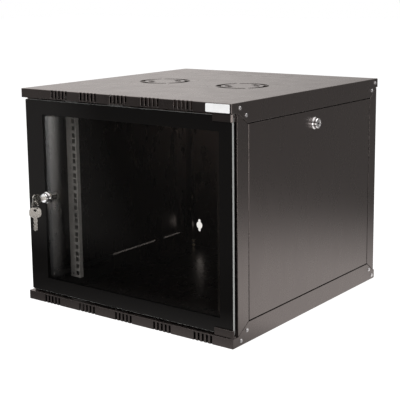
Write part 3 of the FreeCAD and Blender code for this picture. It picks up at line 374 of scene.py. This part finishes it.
def relief(tree, shader, height, distance, strength, edge=0.0):
    """Bump on the shader, over edges rounded by the given radius."""
    bump = add_node(tree, "ShaderNodeBump", Strength=strength, Distance=distance)
    tree.links.new(height, bump.inputs["Height"])
    if edge:
        bevel = add_node(tree, "ShaderNodeBevel", Radius=edge)
        bevel.samples = 4
        tree.links.new(bevel.outputs["Normal"], bump.inputs["Normal"])
    tree.links.new(bump.outputs["Normal"], shader.inputs["Normal"])


def powder_coat(name, settings, darker=1.0):
    """Semi-gloss powder coat: dimpled like orange peel, with faint haze and dust."""
    material, tree, shader = new_material(name)
    place = object_pattern(tree)
    haze = noise(tree, place, 9.0, detail=4.0, roughness=0.6)
    mottle(tree, shader, haze, settings.colour, (0.35, 0.85 * darker), (0.65, 1.2 * darker))
    wiped = noise(tree, object_pattern(tree, (1, 1, 0.35)), 26.0, detail=5.0, roughness=0.65)
    wear(tree, shader, wiped, (0.25, 0.75),
         (settings.roughness - 0.035, settings.roughness + 0.035))
    shader.inputs["IOR"].default_value = settings.gloss
    shader.inputs["Specular Tint"].default_value = (*settings.sheen_tint, 1)
    peel = noise(tree, place, 1 / settings.grain, detail=2.5, roughness=0.45)
    relief(tree, shader, peel, 0.00005, 0.55, settings.edge_round)
    return material


def zinc_plate(name, colour, roughness=0.34, spangle=0.014, shine=1.0):
    """Zinc-plated steel: dull spangle, fine rolling marks and a slight stain."""
    material, tree, shader = new_material(name)
    place = object_pattern(tree)
    cells = add_node(tree, "ShaderNodeTexVoronoi", Scale=1 / spangle)
    tree.links.new(place, cells.inputs["Vector"])
    stain = noise(tree, place, 40.0, detail=5.0, roughness=0.6)
    dull = combine(tree, "ADD", cells.outputs["Distance"], stain)
    mottle(tree, shader, dull, colour, (0.35, 0.78), (0.95, 1.12))
    shader.inputs["Metallic"].default_value = shine
    wear(tree, shader, stain, (0.3, 0.7), (roughness - 0.07, roughness + 0.09))
    marks = noise(tree, object_pattern(tree, (1, 1, 0.04)), 900.0, roughness=0.6)
    relief(tree, shader, marks, 0.00002, 0.4, 0.0003)
    return material


def polished_plate(name, colour, roughness=0.09):
    """Chrome plate with faint polishing marks and a little grime."""
    material, tree, shader = new_material(name)
    grime = noise(tree, object_pattern(tree), 160.0, detail=6.0, roughness=0.65)
    mottle(tree, shader, grime, colour, (0.3, 0.82), (0.6, 1.0))
    shader.inputs["Metallic"].default_value = 1.0
    wear(tree, shader, grime, (0.3, 0.75), (roughness + 0.08, roughness))
    marks = noise(tree, object_pattern(tree, (1, 1, 6)), 1400.0, detail=2.0)
    relief(tree, shader, marks, 0.00001, 0.3, 0.0003)
    return material


def tumbled_metal(name, colour, roughness=0.27):
    """Tumbled and handled metal: fine scratches in all directions and duller patches."""
    material, tree, shader = new_material(name)
    handled = noise(tree, object_pattern(tree), 160.0)
    mottle(tree, shader, handled, colour, (0.3, 0.9), (0.7, 1.06))
    shader.inputs["Metallic"].default_value = 1.0
    wear(tree, shader, handled, (0.3, 0.7), (roughness + 0.06, roughness - 0.05))
    across = object_pattern(tree, (1, 5, 1), turn=(0.3, 0.2, 0.9))
    scratches = noise(tree, across, 1600.0, detail=2.0)
    relief(tree, shader, scratches, 0.000006, 0.3, 0.0002)
    return material


def outside_window(tree, sides, low_high, blend):
    """0 in the door glass's window and 1 in its rim, with a soft step.

    sides are the rim's widths at the left and right, low_high those at its foot and top.
    """
    low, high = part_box("door_glass")
    axes = split_axes(tree)
    rims = []
    for axis, (inset_low, inset_high) in ((0, sides), (2, low_high)):
        start, end = low[axis] + inset_low, high[axis] - inset_high
        offset = combine(tree, "SUBTRACT", axes[axis], (start + end) / 2)
        limit = (end - start) / 2
        rims.append(spread(tree, combine(tree, "ABSOLUTE", offset), (limit - blend, limit),
                           (0, 1)))
    return combine(tree, "MAXIMUM", *rims)


def tinted_glass(settings):
    """Smoke-tinted glass: clear in its window, black in its rim, frosted on its edges."""
    material, tree, shader = new_material("smoke_glass")
    rim, skin = settings.border_width, 0.00005
    is_edge = outside_window(tree, (skin, skin), (skin, skin), blend=0.0001)
    is_border = outside_window(tree, (settings.lock_border_width, rim), (rim, rim),
                               blend=0.0002)
    frost = noise(tree, object_pattern(tree), 900.0, roughness=0.6)
    colour = mix_colours(tree, is_edge, settings.border)
    tree.links.new(tones(tree, frost, settings.edge, (0.3, 0.85), (0.7, 1.1)),
                   colour.inputs["B"])
    tree.links.new(colour.outputs["Result"], shader.inputs["Base Color"])
    smudge = noise(tree, object_pattern(tree), 14.0, detail=5.0, roughness=0.65)
    polish = spread(tree, smudge, (0.3, 0.75), (0.02, 0.07))
    rough = spread(tree, is_edge, (0, 1), (0, 0.4))
    tree.links.new(combine(tree, "ADD", polish, rough), shader.inputs["Roughness"])
    shader.inputs["IOR"].default_value = 1.5
    clear = add_node(tree, "ShaderNodeBsdfTransparent", Color=(*settings.tint, 1))
    mirror = tree.nodes.new("ShaderNodeBsdfAnisotropic")
    tree.links.new(polish, mirror.inputs["Roughness"])
    slant = add_node(tree, "ShaderNodeLayerWeight", Blend=0.5)
    sheen = combine(tree, "POWER", slant.outputs["Facing"], 5.0)
    share = spread(tree, sheen, (0.0, 1.0), (SQUARE_GLOSS, 1.0))
    window = mix_shaders(tree, share, clear, mirror)
    pane = mix_shaders(tree, is_border, window, shader)
    tree.links.new(pane.outputs[0], tree.nodes["Material Output"].inputs["Surface"])
    return material


def fired_border(settings):
    """Black ceramic ink fired on the glass: dense, slightly stippled at close range."""
    material, tree, shader = new_material("fired_border")
    stipple = noise(tree, object_pattern(tree), 1500.0, detail=2.0)
    mottle(tree, shader, stipple, settings.border, (0.3, 0.8), (0.7, 1.3))
    shader.inputs["Roughness"].default_value = 0.3
    relief(tree, shader, stipple, 0.00002, 0.3)
    return material


def plain_plastic(name, colour, roughness, grain):
    """Moulded plastic or rubber with a fine grain and a faint cloudiness."""
    material, tree, shader = new_material(name)
    place = object_pattern(tree)
    cloud = noise(tree, place, 60.0, detail=4.0, roughness=0.6)
    mottle(tree, shader, cloud, colour, (0.3, 0.93), (0.7, 1.05))
    wear(tree, shader, cloud, (0.3, 0.7), (roughness - 0.05, roughness + 0.05))
    relief(tree, shader, noise(tree, place, 1 / grain, detail=2.0), 0.00003, 0.4, 0.0003)
    return material


def paint(material, names):
    """Give CAD nodes one material."""
    for name in names:
        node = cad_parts[name]
        node.data.materials.clear()
        node.data.materials.append(material)


# ------------------------------------------------------------------ modelling

def deselect():
    if bpy.context.object and bpy.context.object.mode != "OBJECT":
        bpy.ops.object.mode_set(mode="OBJECT")
    bpy.ops.object.select_all(action="DESELECT")


def settle(piece, name, material, smooth=35):
    """Name and smooth a finished piece, with its place in its mesh."""
    deselect()
    piece.name = name
    piece.data.name = name
    piece.select_set(True)
    bpy.context.view_layer.objects.active = piece
    bpy.ops.object.transform_apply(location=True, rotation=True, scale=True)
    bpy.ops.object.shade_smooth_by_angle(angle=math.radians(smooth))
    piece.data.materials.clear()
    piece.data.materials.append(material)
    return piece


def select_faces(piece, chosen):
    """In edit mode, select the faces whose centre and normal pass the test."""
    bpy.ops.mesh.select_all(action="DESELECT")
    bpy.ops.mesh.select_mode(type="FACE")
    mesh = bmesh.from_edit_mesh(piece.data)
    for face in mesh.faces:
        face.select = bool(chosen(face.calc_center_median(), face.normal))
    bmesh.update_edit_mesh(piece.data)


def turn_faces_outwards():
    """In edit mode, select all and point every face out."""
    bpy.ops.mesh.select_all(action="SELECT")
    bpy.ops.mesh.normals_make_consistent(inside=False)


def apply_modifier(piece, kind, **settings):
    deselect()
    piece.select_set(True)
    bpy.context.view_layer.objects.active = piece
    modifier = piece.modifiers.new(kind.title(), kind)
    for name, value in settings.items():
        setattr(modifier, name, value)
    bpy.ops.object.modifier_apply(modifier=modifier.name)


def cross_cutter(settings, top):
    """A tapered cross that cuts the driver recess of a screw whose head ends at height top."""
    span, arm_width = settings.recess_span, settings.recess_arm
    arms = []
    for size in ((span, arm_width), (arm_width, span)):
        deselect()
        bpy.ops.mesh.primitive_cube_add(size=1, location=(0, 0, top))
        arm = bpy.context.object
        arm.scale = (*size, settings.recess_depth * 2)
        bpy.ops.object.transform_apply(location=True, rotation=True, scale=True)
        bpy.ops.object.mode_set(mode="EDIT")
        select_faces(arm, lambda centre, normal: normal.z < -0.9)
        bpy.ops.transform.resize(value=(0.5, 0.5, 1))
        bpy.ops.object.mode_set(mode="OBJECT")
        arms.append(arm)
    apply_modifier(arms[0], "BOOLEAN", object=arms[1], operation="UNION", solver="EXACT")
    bpy.data.objects.remove(arms[1])
    return arms[0]


def turned_disc(radius, low, high, rim, segments):
    """A round disc between two heights along Z, its upper rim rounded."""
    deselect()
    bpy.ops.mesh.primitive_cylinder_add(vertices=DISC_SIDES, radius=radius, depth=high - low,
                                        location=(0, 0, (low + high) / 2))
    disc = bpy.context.object
    bpy.ops.object.transform_apply(location=True, rotation=True, scale=True)
    bpy.ops.object.mode_set(mode="EDIT")
    select_faces(disc, lambda centre, normal: normal.z > 0.9)
    bpy.ops.mesh.bevel(offset=rim, offset_pct=0, segments=segments, profile=0.6,
                       affect="EDGES")
    turn_faces_outwards()
    bpy.ops.object.mode_set(mode="OBJECT")
    return disc


def pan_head_screw(settings, radius, height, length):
    """A cross-head screw along Z: a domed head, a washer with its seat at 0 and a shank."""
    seat = settings.washer
    washer = turned_disc(radius, 0, seat, rim=0.0002, segments=2)
    head = turned_disc(radius * HEAD_SHARE, seat, height, rim=(height - seat) * DOME_SHARE,
                       segments=5)
    cutter = cross_cutter(settings, height)
    apply_modifier(head, "BOOLEAN", object=cutter, operation="DIFFERENCE", solver="EXACT")
    bpy.data.objects.remove(cutter)
    shank = turned_disc(radius * SHANK_SHARE, -length, 0, rim=0.0001, segments=1)
    return join([washer, head, shank])


def copy_to(original, matrix):
    """A copy with its own mesh, carried to a place."""
    piece = original.copy()
    piece.data = original.data.copy()
    bpy.context.collection.objects.link(piece)
    piece.matrix_world = matrix
    return piece


def join(pieces):
    deselect()
    for piece in pieces:
        piece.select_set(True)
    bpy.context.view_layer.objects.active = pieces[0]
    bpy.ops.object.join()
    return bpy.context.object


def solid_boxes(name):
    """Lowest and highest corners of the separate solids of a CAD node."""
    mesh = bmesh.new()
    mesh.from_mesh(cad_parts[name].data)
    bmesh.ops.remove_doubles(mesh, verts=mesh.verts, dist=1e-6)
    seen, boxes = set(), []
    for start in mesh.verts:
        if start in seen:
            continue
        group, queue = [], [start]
        seen.add(start)
        while queue:
            vertex = queue.pop()
            group.append(vertex.co.copy())
            for edge in vertex.link_edges:
                other = edge.other_vert(vertex)
                if other not in seen:
                    seen.add(other)
                    queue.append(other)
        low = Vector([min(point[axis] for point in group) for axis in range(3)])
        high = Vector([max(point[axis] for point in group) for axis in range(3)])
        boxes.append((low, high))
    mesh.free()
    return sorted(boxes, key=lambda box: tuple(round(value, 5) for value in box[0]))


def facing_matrix(place, direction, twist):
    """A placement whose Z axis points along direction, turned by twist."""
    turn = Vector(direction).to_track_quat("Z", "Y").to_matrix().to_4x4()
    return Matrix.Translation(place) @ turn @ Matrix.Rotation(twist, 4, "Z")


# ------------------------------------------------------------------ operators

class CABINET_OT_coat(bpy.types.Operator):
    """Powder coat the pans, posts and panels"""
    bl_idname = "cabinet.coat"
    bl_label = "Coat Sheet Metal"

    def execute(self, context):
        coat = context.scene.cabinet_coat
        paint(powder_coat("black_powder_coat", coat), SHEET_METAL)
        paint(powder_coat("clamp_paint", coat, darker=0.8),
              ("hinge_clamp_top", "hinge_clamp_bottom"))
        return {"FINISHED"}


class CABINET_OT_glaze(bpy.types.Operator):
    """Finish the door's glass, its fired border and its pads"""
    bl_idname = "cabinet.glaze"
    bl_label = "Glaze Door"

    def execute(self, context):
        settings = context.scene.cabinet_glass
        paint(tinted_glass(settings), ("door_glass",))
        paint(fired_border(settings), ("door_glass_border",))
        rubber = plain_plastic("black_rubber", (0.03, 0.03, 0.03), roughness=0.6, grain=0.0005)
        paint(rubber, ("hinge_clamp_pads", "door_stop_bumper"))
        return {"FINISHED"}


class CABINET_OT_plate_rails(bpy.types.Operator):
    """Zinc plate the rails and their supports, the rails lightened as painted light and the
    supports darkened nearly black as painted shade
    """
    bl_idname = "cabinet.plate_rails"
    bl_label = "Plate Rails"

    def execute(self, context):
        zinc = context.scene.cabinet_metal.zinc
        # One zinc colour in two copies: lightened 1.5 times on the rails as painted light,
        # darkened to near black on the supports as painted shade.
        bright = zinc_plate("rail_zinc_painted_light", shade(zinc, 1.5), 0.48, spangle=0.012, shine=0.2)
        black = zinc_plate("support_zinc_painted_shade", shade(zinc, 0.05), 0.40, spangle=0.012, shine=0.3)
        paint(bright, ("rail_left", "rail_right"))
        paint(black, RAIL_SUPPORTS)
        return {"FINISHED"}


class CABINET_OT_plate_locks(bpy.types.Operator):
    """Chrome the locks and zinc plate their cams"""
    bl_idname = "cabinet.plate_locks"
    bl_label = "Plate Locks"

    def execute(self, context):
        metal = context.scene.cabinet_metal
        paint(polished_plate("lock_chrome", metal.chrome), LOCK_NODES)
        paint(zinc_plate("cam_zinc", shade(metal.zinc, 1.25), 0.28, spangle=0.006), CAM_NODES)
        return {"FINISHED"}


class CABINET_OT_finish_keys(bpy.types.Operator):
    """Finish the two keys and wind the split key ring"""
    bl_idname = "cabinet.finish_keys"
    bl_label = "Finish Keys"

    def execute(self, context):
        nickel = context.scene.cabinet_metal.nickel
        paint(tumbled_metal("key_nickel", nickel), ("door_key", "spare_key"))
        ring = self.wind_ring(context.scene.cabinet_fittings)
        settle(ring, "split_key_ring", tumbled_metal("ring_steel", shade(nickel, 1.1), 0.2))
        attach(ring, "ring")
        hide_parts("key_ring")
        return {"FINISHED"}

    @staticmethod
    def wind_ring(settings):
        """Flat wire wound in turns round the Y axis, inside the space of the CAD ring."""
        low, high = (Vector(corner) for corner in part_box("key_ring"))
        turns, depth = settings.ring_turns, high.y - low.y
        thickness = (depth - turns * settings.ring_gap) / (turns + 1)
        pitch = thickness + settings.ring_gap
        width = depth * WIRE_SHARE
        deselect()
        start = ((high.z - low.z - width) / 2, -pitch * turns / 2, 0)
        bpy.ops.mesh.primitive_circle_add(vertices=WIRE_SIDES, radius=0.5, location=start)
        wire = bpy.context.object
        wire.scale = (width, thickness, 1)
        bpy.ops.object.transform_apply(location=True, rotation=True, scale=True)
        apply_modifier(wire, "SCREW", axis="Y", angle=2 * math.pi, iterations=turns,
                       screw_offset=pitch, steps=STEPS_PER_TURN, render_steps=STEPS_PER_TURN)
        bpy.ops.object.mode_set(mode="EDIT")
        bpy.ops.mesh.select_all(action="SELECT")
        bpy.ops.mesh.fill_holes(sides=WIRE_SIDES)
        turn_faces_outwards()
        bpy.ops.object.mode_set(mode="OBJECT")
        wire.location = (low + high) / 2
        return wire


class CABINET_OT_finish_fasteners(bpy.types.Operator):
    """Finish the bolts, pins, door stop and earth stud"""
    bl_idname = "cabinet.finish_fasteners"
    bl_label = "Finish Fasteners"

    def execute(self, context):
        metal = context.scene.cabinet_metal
        paint(tumbled_metal("bright_steel", shade(metal.zinc, 1.3), 0.24), FASTENER_NODES)
        paint(tumbled_metal("earth_brass", metal.brass, 0.25), ("earth_stud_nuts",))
        return {"FINISHED"}


class CABINET_OT_drive_screws(bpy.types.Operator):
    """Drive the cross-head screws of the corners and the back panel"""
    bl_idname = "cabinet.drive_screws"
    bl_label = "Drive Screws"

    def execute(self, context):
        zinc = context.scene.cabinet_metal.zinc
        steel = tumbled_metal("screw_steel", shade(zinc, 1.45), 0.22)
        for node, direction in SCREW_NODES:
            self.drive(context.scene.cabinet_fittings, node, Vector(direction), steel)
        return {"FINISHED"}

    @staticmethod
    def drive(settings, node, outward, steel):
        """One piece with a screw in the place of each solid of a CAD node."""
        boxes = solid_boxes(node)
        low, high = boxes[0]
        size = high - low
        reach = abs(size.dot(outward))
        radius = max(size - reach * Vector(map(abs, outward))) / 2
        height = settings.head_height
        model = pan_head_screw(settings, radius, height, reach - height)
        screws = []
        for index, (low, high) in enumerate(boxes):
            seat = (low + high) / 2 + outward * (reach / 2 - height)
            turn = FIRST_TURN + NEXT_TURN * index
            screws.append(copy_to(model, facing_matrix(seat, outward, turn)))
        bpy.data.objects.remove(model)
        piece = settle(join(screws), f"cross_head_{node}", steel)
        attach(piece, "cabinet")
        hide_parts(node)


class CABINET_OT_label(bpy.types.Operator):
    """Finish the bare label plate"""
    bl_idname = "cabinet.label"
    bl_label = "Finish Label"

    def execute(self, context):
        white = plain_plastic("label_white", (0.97, 0.97, 0.97), roughness=0.32, grain=0.0008)
        paint(white, ("label_plate",))
        return {"FINISHED"}


class CABINET_OT_studio(bpy.types.Operator):
    """Set up the floor, background, lamps and camera"""
    bl_idname = "cabinet.studio"
    bl_label = "Set Up Studio"

    def execute(self, context):
        studio = context.scene.cabinet_studio
        self.lay_floor(studio)
        self.hang_world(context.scene, studio)
        self.hang_lamp("overhead_lamp", place=(0.1, -0.1, 2.6), aim=(0.1, -0.1, 0),
                       size=(2.4, 2.2), power=studio.lamp_power)
        front = self.hang_lamp("front_lamp", place=(-0.1, -3.1, 1.7), aim=(0, 0, 0.2),
                               size=(1.6, 1.2), power=studio.fill_power)
        front.visible_glossy = False
        self.stand_card(studio)
        self.place_camera(context.scene, studio)
        context.scene.view_settings.view_transform = "Standard"
        return {"FINISHED"}

    @staticmethod
    def light_path(tree, studio, colour_socket):
        """Link the background's colour, a little warmer in gloss, and tell the rays apart.

        Gives the straight rays, which see white, then the glossy and the diffuse ones.
        """
        path = tree.nodes.new("ShaderNodeLightPath").outputs
        colour = mix_colours(tree, path["Is Glossy Ray"], studio.backdrop)
        colour.inputs["B"].default_value = (*studio.gloss_backdrop, 1)
        tree.links.new(colour.outputs["Result"], colour_socket)
        straight = combine(tree, "MAXIMUM", path["Is Camera Ray"], path["Is Transmission Ray"])
        return straight, path["Is Glossy Ray"], path["Is Diffuse Ray"]

    @classmethod
    def lay_floor(cls, studio):
        """Plain paper, white to the camera; gloss sees a light pool, a dim room and a corner."""
        deselect()
        bpy.ops.mesh.primitive_plane_add(size=30, location=(0, 0, 0))
        floor = bpy.context.object
        floor.name = "studio_floor"
        material, tree, shader = new_material("floor_paper")
        shader.inputs["Roughness"].default_value = 0.8
        shader.inputs["Specular IOR Level"].default_value = 0.1
        straight, glossy, _ = cls.light_path(tree, studio, shader.inputs["Emission Color"])
        paper = spread(tree, glossy, (0.0, 1.0), (studio.floor_tone, 0.02))
        tree.links.new(paper, shader.inputs["Base Color"])
        x, y, _ = split_axes(tree)
        reach = tree.nodes.new("ShaderNodeVectorMath")
        reach.operation = "DISTANCE"
        reach.inputs[1].default_value = studio.pool_centre
        tree.links.new(object_pattern(tree), reach.inputs[0])
        pool = combine(tree, "MULTIPLY", spread(tree, y, *POOL_ALONG_Y),
                       spread(tree, reach.outputs["Value"],
                              (studio.pool_inner, studio.pool_outer), POOL_FADE))
        room = combine(tree, "MULTIPLY", spread(tree, y, ROOM_FLOOR_Y, (studio.room_tone, 0)),
                       spread(tree, combine(tree, "SUBTRACT", x, y), *ROOM_FLOOR_ACROSS))
        corner = combine(tree, "MULTIPLY", spread(tree, x, *CORNER_ALONG_X),
                         spread(tree, y, *CORNER_ALONG_Y))
        near = combine(tree, "ADD", combine(tree, "ADD", pool, room), corner)
        total = combine(tree, "MAXIMUM", combine(tree, "MULTIPLY", straight, FLOOR_WHITE),
                        combine(tree, "MULTIPLY", glossy, near))
        tree.links.new(total, shader.inputs["Emission Strength"])
        floor.data.materials.append(material)

    @classmethod
    def hang_world(cls, scene, studio):
        """White to the camera; to gloss, bright behind the cabinet and dim in front of it."""
        world = bpy.data.worlds.new("studio_world")
        world.use_nodes = True
        scene.world = world
        tree = world.node_tree
        background = tree.nodes["Background"].inputs
        straight, glossy, diffuse = cls.light_path(tree, studio, background["Color"])
        x, y, z = split_axes(tree, "Generated")
        screen = combine(tree, "MULTIPLY", spread(tree, y, *BEHIND_ALONG_Y),
                         spread(tree, x, *LEFT_ALONG_X))
        room = spread(tree, y, ROOM_WORLD_Y, (studio.room_tone, 0))
        around = combine(tree, "MAXIMUM", combine(tree, "MAXIMUM", screen, room),
                         spread(tree, z, *ABOVE_ALONG_Z))
        light = combine(tree, "ADD", combine(tree, "MULTIPLY", glossy, around),
                        combine(tree, "MULTIPLY", diffuse, studio.ambient))
        tree.links.new(combine(tree, "MAXIMUM", straight, light), background["Strength"])

    @staticmethod
    def hang_lamp(name, place, aim, size, power):
        lamp = bpy.data.lights.new(name, "AREA")
        lamp.shape = "RECTANGLE"
        lamp.size, lamp.size_y = size
        lamp.energy = power
        holder = bpy.data.objects.new(name, lamp)
        holder.location = place
        aimed = (Vector(aim) - Vector(place)).to_track_quat("-Z", "Y")
        holder.rotation_euler = aimed.to_euler()
        bpy.context.collection.objects.link(holder)
        return holder

    @staticmethod
    def stand_card(studio):
        """A tall card by the lock's side of the door that glows, seen only in gloss: a painted
        reflection on the glass and the lock, fading to the right and towards the foot.
        """
        left, right, low, high = studio.card
        deselect()
        bpy.ops.mesh.primitive_plane_add(
            size=1, rotation=(math.radians(90), 0, 0),
            location=((left + right) / 2, studio.card_place, (low + high) / 2))
        card = bpy.context.object
        card.scale = (right - left, high - low, 1)
        bpy.ops.object.transform_apply(location=True, rotation=True, scale=True)
        card.name = "studio_card"
        card.visible_camera = card.visible_transmission = False
        card.visible_diffuse = card.visible_shadow = False
        material, tree, shader = new_material("painted_reflection_card")
        x, _, z = split_axes(tree)
        # Painted reflection: the glow fades to the right and towards the foot.
        fade = combine(tree, "POWER", spread(tree, x, (left + CARD_START, right), (1, 0)),
                       CARD_FADE)
        height = combine(tree, "POWER", spread(tree, z, (low, high), (CARD_FOOT, 1)),
                         CARD_RISE)
        glow = combine(tree, "MULTIPLY", combine(tree, "MULTIPLY", fade, height),
                       studio.card_glow)
        shader.inputs["Base Color"].default_value = (0, 0, 0, 1)
        shader.inputs["Emission Color"].default_value = (1, 1, 1, 1)
        tree.links.new(glow, shader.inputs["Emission Strength"])
        card.data.materials.append(material)

    @staticmethod
    def place_camera(scene, studio):
        """Aim by azimuth and elevation, then roll."""
        azimuth, elevation, roll = studio.azimuth, studio.elevation, studio.roll
        level = Vector((math.cos(azimuth), math.sin(azimuth), 0))
        forward = Vector((-math.sin(azimuth) * math.cos(elevation),
                          math.cos(azimuth) * math.cos(elevation), -math.sin(elevation)))
        upward = level.cross(forward)
        right = math.cos(roll) * level + math.sin(roll) * upward
        up = -math.sin(roll) * level + math.cos(roll) * upward
        camera = bpy.data.cameras.new("studio_camera")
        camera.lens = studio.lens
        camera.sensor_width = 36
        camera.shift_y = studio.rise
        camera.clip_start, camera.clip_end = 0.05, 60
        holder = bpy.data.objects.new("studio_camera", camera)
        turn = Matrix((right, up, -forward)).transposed().to_4x4()
        holder.matrix_world = Matrix.Translation(studio.place) @ turn
        bpy.context.collection.objects.link(holder)
        scene.camera = holder


OPERATORS = (CABINET_OT_coat, CABINET_OT_glaze, CABINET_OT_plate_rails, CABINET_OT_plate_locks,
             CABINET_OT_finish_keys, CABINET_OT_finish_fasteners, CABINET_OT_drive_screws,
             CABINET_OT_label, CABINET_OT_studio)


class CABINET_PT_panel(bpy.types.Panel):
    """Cabinet tools in the 3D view's sidebar"""
    bl_idname = "CABINET_PT_panel"
    bl_label = "Network Cabinet"
    bl_space_type = "VIEW_3D"
    bl_region_type = "UI"
    bl_category = "Cabinet"

    def draw(self, context):
        for group_name, group in SETTING_GROUPS:
            box = self.layout.box()
            box.label(text=group.__doc__)
            for setting in group.__annotations__:
                box.prop(getattr(context.scene, group_name), setting)
        for operator in OPERATORS:
            self.layout.operator(operator.bl_idname)


def register():
    for _, group in SETTING_GROUPS:
        bpy.utils.register_class(group)
    for operator in OPERATORS:
        bpy.utils.register_class(operator)
    bpy.utils.register_class(CABINET_PT_panel)
    for name, group in SETTING_GROUPS:
        setattr(bpy.types.Scene, name, PointerProperty(type=group))


def unregister():
    for name, _ in SETTING_GROUPS:
        delattr(bpy.types.Scene, name)
    bpy.utils.unregister_class(CABINET_PT_panel)
    for operator in reversed(OPERATORS):
        bpy.utils.unregister_class(operator)
    for _, group in reversed(SETTING_GROUPS):
        bpy.utils.unregister_class(group)


def main():
    register()
    bpy.ops.cabinet.coat()
    bpy.ops.cabinet.glaze()
    bpy.ops.cabinet.plate_rails()
    bpy.ops.cabinet.plate_locks()
    bpy.ops.cabinet.finish_keys()
    bpy.ops.cabinet.finish_fasteners()
    bpy.ops.cabinet.drive_screws()
    bpy.ops.cabinet.label()
    bpy.ops.cabinet.studio()


if __name__ == "__main__":
    main()
